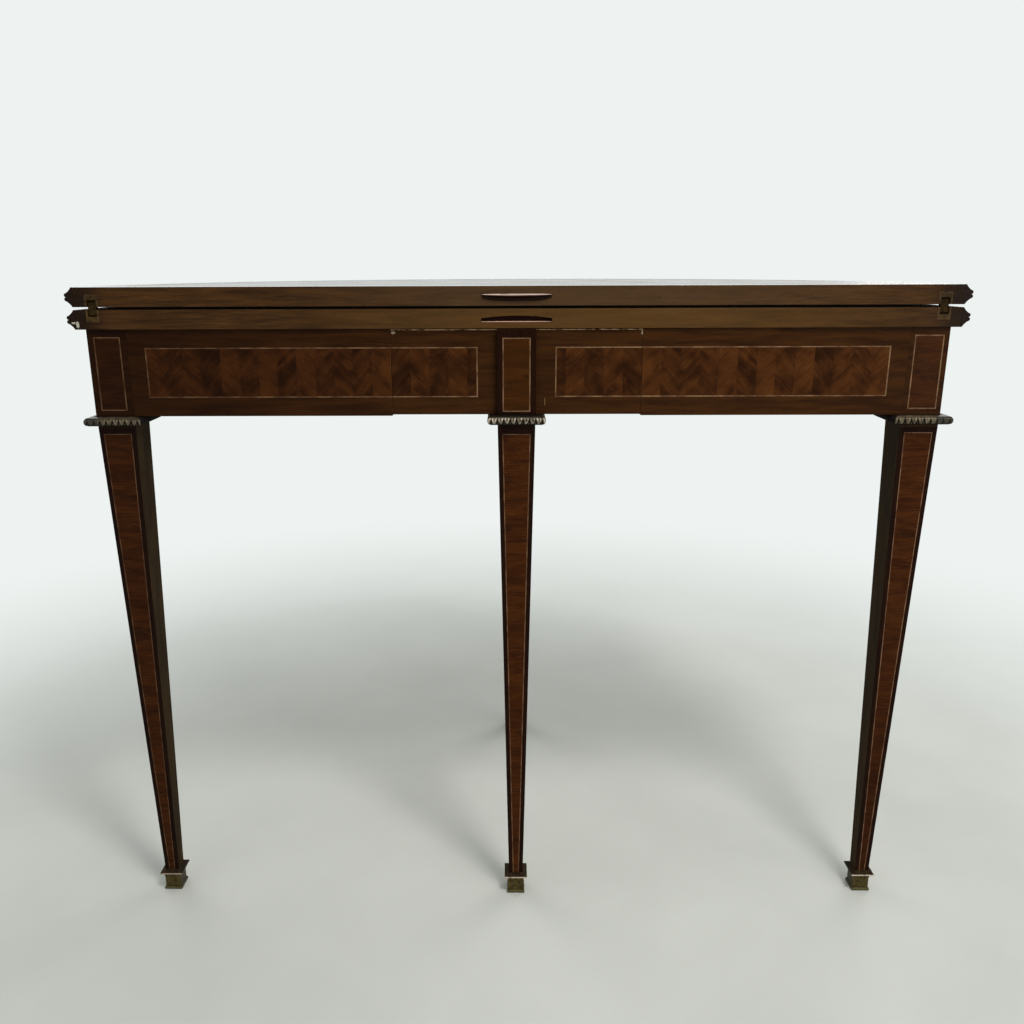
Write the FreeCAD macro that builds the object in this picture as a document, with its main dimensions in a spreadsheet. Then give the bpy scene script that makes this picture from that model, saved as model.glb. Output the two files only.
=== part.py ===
import FreeCAD, Part
import math
import os
import Sketcher

# A half-round card table on four tapered legs. The lower leaf is fixed to the frame and the
# upper leaf folds over on two centre-link hinges. The middle of the straight apron pulls out
# with its leg, to carry the opened leaf.
# Frame: +X along the straight side, +Y towards the curved side, +Z up, floor at zero.

SIZES = {
    # Leaves
    "leaf_radius": "490",
    "leaf_thickness": "21",
    "leaf_gap": "3",
    "table_height": "770",
    "lipping_width": "9.5",
    "lipping_chamfer": "8",
    "bead_height": "4.4",
    "bead_depth": "2.2",
    "bead_ease": "1.3",
    # Playing cloths
    "cloth_border": "46",
    "cloth_setback": "12",
    "cloth_thickness": "2.1",
    "cloth_recess": "0.9",
    "cloth_clearance": "0.3",
    # Alignment tongue and its mortise
    "tongue_length": "76",
    "tongue_edge": "2.4",
    "tongue_rise": "2.6",
    "tongue_crown_depth": "8",
    "tongue_reach": "4.5",
    "tongue_bevel": "1",
    "tongue_root": "12",
    "mortise_clearance": "0.5",
    "mortise_lip_depth": "3",
    "mortise_lip_drop": "2",
    # Centre-link hinges
    "hinge_inset": "28.5",
    "hinge_width": "14",
    "hinge_block_depth": "11",
    "hinge_block_height": "13",
    "hinge_strap_length": "42",
    "hinge_strap_thickness": "2.5",
    "pin_setback": "3.8",
    "pin_depth": "2.5",
    "pin_radius": "1.1",
    "pin_clearance": "0.05",
    "link_width": "9",
    "link_reach": "4.5",
    "link_side_clearance": "0.3",
    "link_end_clearance": "0.3",
    # Frame
    "leaf_overhang": "18",
    "frame_setback": "3",
    "apron_height": "96",
    "rail_thickness": "20",
    "curved_rail_inset": "1",
    "curved_rail_thickness": "22",
    "back_leg_proud": "4",
    "tenon_thickness": "10",
    "tenon_height": "70",
    "tenon_length": "20",
    "short_tenon_length": "14",
    "cross_rail_setback": "56",
    "cross_rail_thickness": "22",
    "cross_rail_height": "60",
    "cross_rail_fit": "0.2",
    "block_side": "23",
    "block_height": "80",
    "glue_block_side": "16",
    "glue_block_length": "60",
    # Legs, collars and shoes
    "leg_block_width": "43",
    "leg_neck_width": "42",
    "leg_neck_height": "14",
    "leg_toe_width": "17.5",
    "leg_tenon_width": "15.5",
    "collar_height": "10",
    "collar_reach": "12",
    "collar_fillet_reach": "6",
    "collar_fillet_drop": "1.5",
    "collar_shoulder_drop": "4.4",
    "collar_nose_radius": "1.4",
    "collar_lip": "9.4",
    "collar_undercut": "3",
    "collar_undercut_height": "3",
    "collar_fit": "0.1",
    "collar_leaf_pitch": "7",
    "collar_leaf_drop": "2.6",
    "collar_leaf_notch": "4.4",
    "shoe_height": "24",
    "shoe_width": "21.4",
    "shoe_rim_width": "29",
    "shoe_rim_height": "5",
    "shoe_rim_bevel": "3",
    "shoe_foot_width": "22.6",
    "shoe_foot_height": "3.5",
    "shoe_floor": "4",
    # Sliding section
    "slide_half_width": "138",
    "slide_joint": "0.6",
    "slide_top_gap": "1",
    "slide_bottom_gap": "1.5",
    "slide_leg_proud": "6",
    "side_thickness": "10",
    "side_height": "72",
    "side_lift": "11",
    "slide_back_gap": "13",
    "slide_hold": "87",
    "bottom_thickness": "5",
    "bottom_lift": "7",
    "groove_depth": "4",
    "running_clearance": "0.3",
    "runner_ledge": "18",
    "runner_wall": "18",
    "kicker_width": "14",
    "rest_stop_width": "30",
    "rest_stop_height": "24",
    "travel_stop_half_width": "60",
    "travel_stop_depth": "20",
    "travel_stop_overlap": "5",
    # How far a cut runs past a face
    "overrun": "1",
}

doc = FreeCAD.newDocument("CardTable")
sheet = doc.addObject("Spreadsheet::Sheet", "Sizes")
for row, (alias, number) in enumerate(SIZES.items(), start=1):
    sheet.set("A%d" % row, alias.replace("_", " "))
    sheet.set("B%d" % row, number)
    sheet.setAlias("B%d" % row, alias)
doc.recompute()


class Length:
    """A length as its present number and as the sheet expression that gives it."""

    def __init__(self, value, text):
        self.value = value
        self.text = text

    def __add__(self, other):
        return Length(self.value + other.value, "(%s + %s)" % (self.text, other.text))

    def __sub__(self, other):
        return Length(self.value - other.value, "(%s - %s)" % (self.text, other.text))

    def __neg__(self):
        return Length(-self.value, "(0 - %s)" % self.text)

    def __mul__(self, factor):
        return Length(self.value * factor, "(%s * %s)" % (self.text, factor))

    def __truediv__(self, divisor):
        return Length(self.value / divisor, "(%s / %s)" % (self.text, divisor))


class Sizes:
    """Every size of the sheet as a Length, under its own name."""

    def __init__(self, table):
        for alias in table:
            setattr(self, alias, Length(float(table[alias]), "Sizes." + alias))


size = Sizes(SIZES)
ZERO = Length(0.0, "0")
# Closer than this, two places are the same
HAIR = 1e-6


def chord(radius, offset):
    """Half the chord of a circle at an offset from its centre."""
    value = math.sqrt(radius.value ** 2 - offset.value ** 2)
    return Length(value, "sqrt(%s ^ 2 - %s ^ 2)" % (radius.text, offset.text))


def segment_radius(half_chord, rise):
    """Radius of the arc that rises by this much over a chord."""
    value = (half_chord.value ** 2 + rise.value ** 2) / (2 * rise.value)
    return Length(value, "((%s ^ 2 + %s ^ 2) / (2 * %s))" % (half_chord.text, rise.text, rise.text))


# Sizes that follow from the sheet
leaf_bottom = size.table_height - size.leaf_thickness * 2 - size.leaf_gap
lower_face = leaf_bottom + size.leaf_thickness
upper_face = lower_face + size.leaf_gap
apron_bottom = leaf_bottom - size.apron_height
frame_half_width = size.leaf_radius - size.leaf_overhang
curved_rail_radius = frame_half_width - size.curved_rail_inset
half_block = size.leg_block_width / 2
half_neck = size.leg_neck_width / 2
end_leg_x = frame_half_width - half_block
end_leg_y = size.frame_setback + half_block
slide_leg_y = end_leg_y - size.slide_leg_proud
back_leg_y = curved_rail_radius + size.back_leg_proud - half_block
front_reach = slide_leg_y - half_neck - size.collar_fit - size.collar_reach
# The frame's origin is under the middle of the whole table, so every piece shifts by this much
shift = (size.leaf_radius + front_reach) / 2
rail_back = size.frame_setback + size.rail_thickness
rail_middle = size.frame_setback + size.rail_thickness / 2
hinge_x = size.leaf_radius - size.hinge_inset


def new_body(label, x=ZERO, y=ZERO, z=ZERO, turn=None):
    """A body at a place in the table's frame."""
    body = doc.addObject("PartDesign::Body", label)
    body.Label = label
    place(body, x, y, z, turn)
    return body


def place(item, x, y, z, turn=None):
    """Puts a piece at a place that stays tied to the sheet."""
    if turn:
        item.Placement = FreeCAD.Placement(FreeCAD.Vector(), turn)
    item.setExpression("Placement.Base.x", x.text)
    item.setExpression("Placement.Base.y", (y - shift).text)
    item.setExpression("Placement.Base.z", z.text)


def new_sketch(body, name, role, offset=ZERO):
    """A sketch on one of the body's own planes, raised along the plane's normal."""
    sketch = body.newObject("Sketcher::SketchObject", name)
    plane = next(item for item in body.Origin.OriginFeatures if item.Role == role)
    sketch.AttachmentSupport = [(plane, "")]
    sketch.MapMode = "FlatFace"
    sketch.setExpression("AttachmentOffset.Base.z", offset.text)
    return sketch


def tie(sketch, kind, item, end, length):
    """Ties a point's distance from the sketch's origin to the sheet."""
    index = sketch.addConstraint(Sketcher.Constraint(kind, -1, 1, item, end, length.value))
    sketch.setExpression("Constraints[%d]" % index, length.text)


def tie_radius(sketch, item, length):
    """Ties a circle's radius to the sheet."""
    index = sketch.addConstraint(Sketcher.Constraint("Radius", item, length.value))
    sketch.setExpression("Constraints[%d]" % index, length.text)


def point(corner):
    """The present place of a corner."""
    return FreeCAD.Vector(corner[0].value, corner[1].value, 0)


def arc_between(start, end, centre, turns_left):
    """An arc about a centre. It runs to the left round the centre, or else to the right."""
    first, last = (start, end) if turns_left else (end, start)
    middle = point(centre)
    reach = (point(start) - middle).Length
    angles = [math.atan2(p.y - middle.y, p.x - middle.x) for p in (point(first), point(last))]
    circle = Part.Circle(middle, FreeCAD.Vector(0, 0, 1), reach)
    return Part.ArcOfCircle(circle, angles[0], angles[1])


def outline(sketch, corners, arcs=None):
    """A closed outline. arcs gives, for the edge that leaves a corner, its centre and side."""
    arcs = arcs or {}
    first = sketch.GeometryCount
    count = len(corners)
    ends = []
    for number, corner in enumerate(corners):
        following = corners[(number + 1) % count]
        if number in arcs:
            centre, turns_left = arcs[number]
            sketch.addGeometry(arc_between(corner, following, centre, turns_left))
            ends.append((1, 2) if turns_left else (2, 1))
        else:
            sketch.addGeometry(Part.LineSegment(point(corner), point(following)))
            ends.append((1, 2))
    for number in range(count):
        after = (number + 1) % count
        sketch.addConstraint(Sketcher.Constraint(
            "Coincident", first + number, ends[number][1], first + after, ends[after][0]))
    for number, corner in enumerate(corners):
        before = (number - 1) % count
        if before in arcs:
            # The arc's circle already holds the corner, so one coordinate settles it
            spoke = point(corner) - point(arcs[before][0])
            flat = abs(spoke.y) > abs(spoke.x)
            kinds = [("DistanceX", 0)] if flat else [("DistanceY", 1)]
        else:
            kinds = [("DistanceX", 0), ("DistanceY", 1)]
        for kind, axis in kinds:
            tie(sketch, kind, first + number, ends[number][0], corner[axis])
    for number, (centre, turns_left) in arcs.items():
        tie(sketch, "DistanceX", first + number, 3, centre[0])
        tie(sketch, "DistanceY", first + number, 3, centre[1])


def rectangle(sketch, left, right, low, high):
    """A rectangle between two sides and two levels."""
    outline(sketch, [(left, low), (right, low), (right, high), (left, high)])


def square(sketch, width):
    """A square about the sketch's origin."""
    half = width / 2
    rectangle(sketch, -half, half, -half, half)


def ring(sketch, centre, radius):
    """A full circle."""
    circle = Part.Circle(point(centre), FreeCAD.Vector(0, 0, 1), radius.value)
    item = sketch.addGeometry(circle)
    tie(sketch, "DistanceX", item, 3, centre[0])
    tie(sketch, "DistanceY", item, 3, centre[1])
    tie_radius(sketch, item, radius)


def extrude(body, kind, name, sketch, length=None, side="One side", turned=False):
    """A pad or a pocket of a sketch. Without a length a pocket goes through everything."""
    feature = body.newObject("PartDesign::" + kind, name)
    feature.Profile = sketch
    feature.SideType = side
    feature.Reversed = turned
    if length is None:
        feature.Type = "ThroughAll"
    else:
        feature.setExpression("Length", length.text)
    return feature


def pad(body, name, sketch, length, side="One side", turned=False):
    return extrude(body, "Pad", name, sketch, length, side, turned)


def pocket(body, name, sketch, length=None, side="One side", turned=False):
    return extrude(body, "Pocket", name, sketch, length, side, turned)


def bevel(body, name, feature, width, test):
    """Bevels the feature's edges whose middle passes a test."""
    edges = ["Edge%d" % number for number, edge in enumerate(feature.Shape.Edges, start=1)
             if test(edge.CenterOfMass)]
    cut = body.newObject("PartDesign::Chamfer", name)
    cut.Base = (feature, edges)
    cut.setExpression("Size", width.text)


def board(label, left, right, front, back, low, high):
    """A plain squared piece of wood between six faces."""
    item = doc.addObject("Part::Box", label)
    item.Label = label
    item.setExpression("Length", (right - left).text)
    item.setExpression("Width", (back - front).text)
    item.setExpression("Height", (high - low).text)
    place(item, left, front, low)
    return item


def group(label, items):
    """Like pieces that share one node."""
    item = doc.addObject("Part::Compound", label)
    item.Label = label
    item.Links = items
    return item


UPSIDE_DOWN = FreeCAD.Rotation(FreeCAD.Vector(0, 1, 0), 180)
SIDES = (("left", -1), ("right", 1))

core_radius = size.leaf_radius - size.lipping_width
cloth_radius = size.leaf_radius - size.cloth_border
leaf_joint = size.pin_depth * 2 + size.leaf_gap - size.pin_setback * 2
tongue_arc = segment_radius(size.tongue_length / 2, size.tongue_rise)


def lens(sketch, growth):
    """Front view of the tongue or its mortise, a bar that bulges towards the inner face."""
    half = size.tongue_length / 2 + growth
    flat = -(size.tongue_crown_depth + size.tongue_rise + size.tongue_edge + growth)
    centre = -(size.tongue_crown_depth + tongue_arc)
    shoulder = centre + chord(tongue_arc + growth, half)
    outline(sketch, [(-half, flat), (half, flat), (half, shoulder), (-half, shoulder)],
            {2: ((ZERO, centre), True)})
    return half, flat


def half_disc(sketch, radius, straight_edge):
    """The half-round plan of a leaf or a cloth, cut straight at its hinge side."""
    reach = chord(radius, straight_edge)
    outline(sketch, [(-reach, straight_edge), (reach, straight_edge)],
            {1: ((ZERO, ZERO), True)})


# Leaves. The inner face, that carries the cloth, is at the body's zero level. The upper leaf is
# the same board turned upside down.
def leaf(label, level, turn, is_upper):
    body = new_body(label, z=level, turn=turn)
    plan = new_sketch(body, label + "_plan", "XY_Plane", -size.leaf_thickness)
    half_disc(plan, core_radius, ZERO)
    pad(body, label + "_board", plan, size.leaf_thickness)

    recess = new_sketch(body, label + "_cloth_recess", "XY_Plane")
    half_disc(recess, cloth_radius + size.cloth_clearance, size.cloth_setback - size.cloth_clearance)
    pocket(body, label + "_cloth_bed", recess, size.cloth_recess)

    straps = new_sketch(body, label + "_strap_plan", "XY_Plane")
    blocks = new_sketch(body, label + "_hinge_block_plan", "XY_Plane")
    for side, sign in SIDES:
        inner = (hinge_x - size.hinge_width / 2) * sign
        outer = (hinge_x + size.hinge_width / 2) * sign
        left, right = (inner, outer) if sign > 0 else (outer, inner)
        rectangle(straps, left, right, -size.overrun, size.hinge_strap_length)
        rectangle(blocks, left, right, -size.overrun, size.hinge_block_depth)
    pocket(body, label + "_strap_bed", straps, size.hinge_strap_thickness)
    pocket(body, label + "_hinge_block_bed", blocks, size.hinge_block_height)

    if is_upper:
        slot = new_sketch(body, label + "_tongue_slot", "XZ_Plane")
        lens(slot, ZERO)
        pocket(body, label + "_tongue_bed", slot, size.tongue_root)
    else:
        # The mortise's far lip is eased, where the tongue's nose comes in on its arc
        mortise = new_sketch(body, label + "_mortise_front", "XZ_Plane")
        half, flat = lens(mortise, size.mortise_clearance)
        pocket(body, label + "_mortise", mortise, size.tongue_reach + size.mortise_clearance)
        lip = new_sketch(body, label + "_mortise_lip", "YZ_Plane")
        outline(lip, [(ZERO, flat), (ZERO, flat - size.mortise_lip_drop), (size.mortise_lip_depth, flat)])
        pocket(body, label + "_mortise_easing", lip, half * 2, side="Symmetric")
    return body


leaf("lower_leaf", lower_face, None, False)
leaf("upper_leaf", upper_face, UPSIDE_DOWN, True)


# Lipping. One bent length of moulding round each leaf: a chamfer above and below two small
# beads, each bead planed to three flats.
def lipping(label, level, turn):
    body = new_body(label, z=level, turn=turn)
    section = new_sketch(body, label + "_section", "XZ_Plane")
    top_corner = size.leaf_radius - size.lipping_chamfer
    root = size.leaf_radius - size.bead_depth
    middle = -size.leaf_thickness / 2
    bottom = middle - size.bead_height
    top = middle + size.bead_height
    ease = size.bead_ease
    corners = [
        (core_radius, ZERO), (core_radius, -size.leaf_thickness), (top_corner, -size.leaf_thickness),
        (root, bottom), (size.leaf_radius, bottom + ease), (size.leaf_radius, middle - ease),
        (root, middle), (size.leaf_radius, middle + ease), (size.leaf_radius, top - ease),
        (root, top), (top_corner, ZERO)]
    outline(section, corners)
    turned = body.newObject("PartDesign::Revolution", label + "_bend")
    turned.Profile = section
    turned.ReferenceAxis = (section, ["V_Axis"])
    turned.Angle = 180
    return body


lipping("lower_leaf_lipping", lower_face, None)
lipping("upper_leaf_lipping", upper_face, UPSIDE_DOWN)


# Playing cloths, let into the inner faces with a plain wooden border round them.
def cloth(label, level, turn):
    body = new_body(label, z=level, turn=turn)
    plan = new_sketch(body, label + "_plan", "XY_Plane", -size.cloth_recess)
    half_disc(plan, cloth_radius, size.cloth_setback)
    pad(body, label + "_sheet", plan, size.cloth_thickness)
    return body


cloth("lower_playing_cloth", lower_face, None)
cloth("upper_playing_cloth", upper_face, UPSIDE_DOWN)


# Alignment tongue, a hardwood key with one bulging side, let into the upper leaf, its nose bevelled.
tongue = new_body("alignment_tongue", z=upper_face, turn=UPSIDE_DOWN)
root = new_sketch(tongue, "tongue_root_front", "XZ_Plane")
lens(root, ZERO)
pad(tongue, "tongue_root", root, size.tongue_root, turned=True)
nose = new_sketch(tongue, "tongue_nose_front", "XZ_Plane")
lens(nose, ZERO)
tip = pad(tongue, "tongue_nose", nose, size.tongue_reach)
doc.recompute()
bevel(tongue, "tongue_bevel", tip, size.tongue_bevel, lambda middle: (
    middle.y < -size.tongue_reach.value + HAIR))


# Hinge plates. A strap on the leaf's inner face ends in a slotted block at the straight edge,
# and the link lies in the slot.
slot_width = size.link_width + size.link_side_clearance * 2


def hinge_plate(label, sign, level, turn):
    body = new_body(label, x=hinge_x * sign, z=level, turn=turn)
    half = size.hinge_width / 2
    strap = new_sketch(body, label + "_strap_plan", "XY_Plane", -size.hinge_strap_thickness)
    rectangle(strap, -half, half, ZERO, size.hinge_strap_length)
    pad(body, label + "_strap", strap, size.hinge_strap_thickness)
    block = new_sketch(body, label + "_block_plan", "XY_Plane", -size.hinge_block_height)
    rectangle(block, -half, half, ZERO, size.hinge_block_depth)
    pad(body, label + "_block", block, size.hinge_block_height)

    slot = new_sketch(body, label + "_slot_side", "YZ_Plane")
    sweep = size.link_reach + size.link_end_clearance
    back = size.pin_setback + sweep
    corners = [(-size.overrun, size.overrun), (-size.overrun, -(size.pin_depth + sweep)),
               (size.pin_setback, -(size.pin_depth + sweep)), (back, -size.pin_depth),
               (back, size.overrun)]
    outline(slot, corners, {2: ((size.pin_setback, -size.pin_depth), True)})
    pocket(body, label + "_slot", slot, slot_width, side="Symmetric")

    bore = new_sketch(body, label + "_pin_bore", "YZ_Plane")
    ring(bore, (size.pin_setback, -size.pin_depth), size.pin_radius + size.pin_clearance)
    pocket(body, label + "_pin_hole", bore, side="Symmetric")
    return body


def hinge_pins(label, level):
    """The two hinge pins of one leaf, lying along the straight edge."""
    pins = []
    for side, sign in SIDES:
        pin = doc.addObject("Part::Cylinder", "%s_%s" % (label, side))
        pin.setExpression("Radius", size.pin_radius.text)
        pin.setExpression("Height", size.hinge_width.text)
        along = FreeCAD.Rotation(FreeCAD.Vector(0, 1, 0), 90)
        place(pin, hinge_x * sign - size.hinge_width / 2, size.pin_setback, level, along)
        pins.append(pin)
    return group(label, pins)


def hinge_link(label, sign):
    """A link with round ends that turns on a pin in each leaf."""
    body = new_body(label, x=hinge_x * sign, z=lower_face + size.leaf_gap / 2)
    # The bar is as thick as keeps it flush with both open leaves
    half_span = size.leaf_gap / 2 + size.pin_depth
    half_thick = size.pin_depth
    front = size.pin_setback - half_thick
    back = size.pin_setback + half_thick
    straight = half_span + size.link_reach - half_thick
    side_view = new_sketch(body, label + "_side", "YZ_Plane")
    corners = [(front, -straight), (back, -straight), (back, straight), (front, straight)]
    outline(side_view, corners, {0: ((size.pin_setback, -straight), True),
                                 2: ((size.pin_setback, straight), True)})
    pad(body, label + "_bar", side_view, size.link_width, side="Symmetric")
    bores = new_sketch(body, label + "_bores", "YZ_Plane")
    ring(bores, (size.pin_setback, -half_span), size.pin_radius + size.pin_clearance)
    ring(bores, (size.pin_setback, half_span), size.pin_radius + size.pin_clearance)
    pocket(body, label + "_pin_holes", bores, side="Symmetric")
    return body


for side, sign in SIDES:
    hinge_plate(side + "_lower_hinge_plate", sign, lower_face, None)
    hinge_plate(side + "_upper_hinge_plate", sign, upper_face, UPSIDE_DOWN)
    hinge_link(side + "_hinge_link", sign)
hinge_pins("lower_hinge_pins", lower_face - size.pin_depth)
hinge_pins("upper_hinge_pins", upper_face + size.pin_depth)


# Legs. A square block between the rails, a short neck for the collar, a straight taper on all
# four faces and a square tenon that fills the metal shoe.
tenon_bottom = apron_bottom + (size.apron_height - size.tenon_height) / 2
tenon_top = tenon_bottom + size.tenon_height
neck_bottom = apron_bottom - size.leg_neck_height


def leg(label, x, y, block_bottom, block_top, mortises):
    """mortises lists left, right, front and back of each mortise about the leg's axis."""
    body = new_body(label, x=x, y=y)
    shaft = new_sketch(body, label + "_shaft_plan", "XY_Plane", size.shoe_height)
    square(shaft, size.leg_neck_width)
    pad(body, label + "_shaft", shaft, block_bottom - size.shoe_height)
    half_toe = size.leg_toe_width / 2
    clear = half_neck + size.overrun
    waste = [(half_toe, size.shoe_height), (clear, size.shoe_height), (clear, neck_bottom),
             (half_neck, neck_bottom)]
    for role, name in (("XZ_Plane", "front"), ("YZ_Plane", "side")):
        taper = new_sketch(body, "%s_%s_taper_waste" % (label, name), role)
        outline(taper, waste)
        outline(taper, [(-across, level) for across, level in waste])
        pocket(body, "%s_%s_taper" % (label, name), taper, side="Symmetric")
    block = new_sketch(body, label + "_block_plan", "XY_Plane", block_bottom)
    square(block, size.leg_block_width)
    pad(body, label + "_block", block, block_top - block_bottom)
    tenon = new_sketch(body, label + "_shoe_tenon_plan", "XY_Plane", size.shoe_floor)
    square(tenon, size.leg_tenon_width)
    pad(body, label + "_shoe_tenon", tenon, size.shoe_height - size.shoe_floor)
    for number, (left, right, front, back) in enumerate(mortises, start=1):
        plan = new_sketch(body, "%s_mortise_%d_plan" % (label, number), "XY_Plane", tenon_top)
        rectangle(plan, left, right, front, back)
        pocket(body, "%s_mortise_%d" % (label, number), plan, size.tenon_height)
    return body


half_tenon = size.tenon_thickness / 2
rail_line = rail_middle - end_leg_y
curved_end_y = end_leg_y + half_block
curved_middle_radius = curved_rail_radius - size.curved_rail_thickness / 2
curved_end_x = chord(curved_middle_radius, curved_end_y)
curved_line = end_leg_x - curved_end_x
back_line = chord(curved_middle_radius, half_block) - back_leg_y
slide_line = rail_middle - slide_leg_y

for side, sign in SIDES:
    inside = (half_block - size.tenon_length, half_block)
    near, far = inside if sign < 0 else (-inside[1], -inside[0])
    rail_mortise = (near, far, rail_line - half_tenon, rail_line + half_tenon)
    centre = curved_line if sign < 0 else -curved_line
    curved_mortise = (centre - half_tenon, centre + half_tenon, half_block - size.tenon_length, half_block)
    leg(side + "_leg", end_leg_x * sign, end_leg_y, apron_bottom, leaf_bottom,
        [rail_mortise, curved_mortise])

back_mortises = [
    (half_block - size.short_tenon_length, half_block, back_line - half_tenon, back_line + half_tenon),
    (-half_block, -half_block + size.short_tenon_length, back_line - half_tenon, back_line + half_tenon)]
leg("back_leg", ZERO, back_leg_y, apron_bottom, leaf_bottom, back_mortises)

slide_bottom_level = apron_bottom + size.slide_bottom_gap
slide_top_level = leaf_bottom - size.slide_top_gap
slide_mortises = [
    (half_block - size.short_tenon_length, half_block, slide_line - half_tenon, slide_line + half_tenon),
    (-half_block, -half_block + size.short_tenon_length, slide_line - half_tenon, slide_line + half_tenon)]
leg("sliding_leg", ZERO, slide_leg_y, slide_bottom_level, slide_top_level, slide_mortises)


# Collars. A cast moulding mitred round the leg's neck, its lower edge cut into leaf tips.
LEAF_NOTCHES = 8


def collar(label, x, y, top):
    body = new_body(label, x=x, y=y, z=top)
    inside = half_neck + size.collar_fit
    path = new_sketch(body, label + "_path", "XY_Plane")
    square(path, inside * 2)
    section = new_sketch(body, label + "_section", "XZ_Plane")
    fillet_x = inside + size.collar_fillet_reach
    nose = size.collar_nose_radius
    reach = inside + size.collar_reach
    nose_middle = size.collar_shoulder_drop + nose
    lip = inside + size.collar_lip
    corners = [
        (inside, ZERO), (fillet_x, ZERO), (fillet_x, -size.collar_fillet_drop),
        (reach - nose, -size.collar_shoulder_drop), (reach - nose, -(nose_middle + nose)),
        (lip, -size.collar_height), (lip - size.collar_undercut, -size.collar_height),
        (lip - size.collar_undercut, -(size.collar_height - size.collar_undercut_height)),
        (inside, -(size.collar_height - size.collar_undercut_height))]
    outline(section, corners, {3: ((reach - nose, -nose_middle), False)})
    doc.recompute()
    moulding = body.newObject("PartDesign::AdditivePipe", label + "_moulding")
    moulding.Profile = section
    moulding.Spine = (path, ["Edge1", "Edge2", "Edge3", "Edge4"])
    moulding.Transition = "Right corner"
    for role, axis in (("XZ_Plane", "front"), ("YZ_Plane", "side")):
        notch = new_sketch(body, "%s_%s_notches" % (label, axis), role)
        for number in range(LEAF_NOTCHES):
            centre = size.collar_leaf_pitch * (number - (LEAF_NOTCHES - 1) / 2)
            base = -(size.collar_height + size.overrun)
            tip = -(size.collar_height - size.collar_leaf_drop)
            half = size.collar_leaf_notch / 2
            outline(notch, [(centre - half, base), (centre + half, base), (centre, tip)])
        pocket(body, "%s_%s_leaf_tips" % (label, axis), notch, side="Symmetric")
    return body


# Shoes. A square cast cup with a bevelled rim above and a small foot moulding below.
def shoe(label, x, y):
    body = new_body(label, x=x, y=y)
    foot = new_sketch(body, label + "_foot_plan", "XY_Plane")
    square(foot, size.shoe_foot_width)
    pad(body, label + "_foot", foot, size.shoe_foot_height)
    cup = new_sketch(body, label + "_cup_plan", "XY_Plane", size.shoe_foot_height)
    square(cup, size.shoe_width)
    pad(body, label + "_cup", cup, size.shoe_height - size.shoe_foot_height)
    rim = new_sketch(body, label + "_rim_plan", "XY_Plane", size.shoe_height - size.shoe_rim_height)
    square(rim, size.shoe_rim_width)
    rim_pad = pad(body, label + "_rim", rim, size.shoe_rim_height)
    doc.recompute()
    top = size.shoe_height.value
    half_rim = size.shoe_rim_width.value / 2
    bevel(body, label + "_bevel", rim_pad, size.shoe_rim_bevel, lambda middle: (
        abs(middle.z - top) < HAIR and max(abs(middle.x), abs(middle.y)) > half_rim - HAIR))
    socket = new_sketch(body, label + "_socket_plan", "XY_Plane", size.shoe_height)
    square(socket, size.leg_tenon_width)
    pocket(body, label + "_socket", socket, size.shoe_height - size.shoe_floor)
    return body


LEG_PLACES = {
    "left": (-end_leg_x, end_leg_y, apron_bottom),
    "right": (end_leg_x, end_leg_y, apron_bottom),
    "back": (ZERO, back_leg_y, apron_bottom),
    "sliding": (ZERO, slide_leg_y, slide_bottom_level),
}
for name, (x, y, top) in LEG_PLACES.items():
    collar(name + "_collar", x, y, top)
    shoe(name + "_shoe", x, y)


# Straight rails, the fixed parts of the straight apron, each tenoned into its end leg.
slide_side = size.slide_half_width + size.slide_joint
for side, sign in SIDES:
    label = side + "_straight_rail"
    body = new_body(label)
    plan = new_sketch(body, label + "_plan", "XY_Plane", apron_bottom)
    leg_face = end_leg_x - half_block
    left, right = (slide_side, leg_face) if sign > 0 else (-leg_face, -slide_side)
    rectangle(plan, left, right, size.frame_setback, rail_back)
    pad(body, label + "_board", plan, size.apron_height)
    tenon = new_sketch(body, label + "_tenon_plan", "XY_Plane", tenon_bottom)
    tip = leg_face + size.tenon_length
    left, right = (leg_face, tip) if sign > 0 else (-tip, -leg_face)
    rectangle(tenon, left, right, rail_middle - half_tenon, rail_middle + half_tenon)
    pad(body, label + "_tenon", tenon, size.tenon_height)


# Curved rails, sawn to the curve and veneered, from each end leg to the back leg.
for side, sign in SIDES:
    label = side + "_curved_rail"
    body = new_body(label)
    outer = curved_rail_radius
    inner = outer - size.curved_rail_thickness
    plan = new_sketch(body, label + "_plan", "XY_Plane", apron_bottom)
    near_outer = (chord(outer, curved_end_y) * sign, curved_end_y)
    far_outer = (half_block * sign, chord(outer, half_block))
    far_inner = (half_block * sign, chord(inner, half_block))
    near_inner = (chord(inner, curved_end_y) * sign, curved_end_y)
    centre = (ZERO, ZERO)
    outline(plan, [near_outer, far_outer, far_inner, near_inner],
            {0: (centre, sign > 0), 2: (centre, sign < 0)})
    pad(body, label + "_curve", plan, size.apron_height)
    tenons = new_sketch(body, label + "_tenon_plan", "XY_Plane", tenon_bottom)
    middle = curved_end_x * sign
    rectangle(tenons, middle - half_tenon, middle + half_tenon,
              curved_end_y - size.tenon_length, curved_end_y)
    middle = chord(curved_middle_radius, half_block)
    tip = half_block - size.short_tenon_length
    left, right = (tip, half_block) if sign > 0 else (-half_block, -tip)
    rectangle(tenons, left, right, middle - half_tenon, middle + half_tenon)
    pad(body, label + "_tenons", tenons, size.tenon_height)


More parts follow.
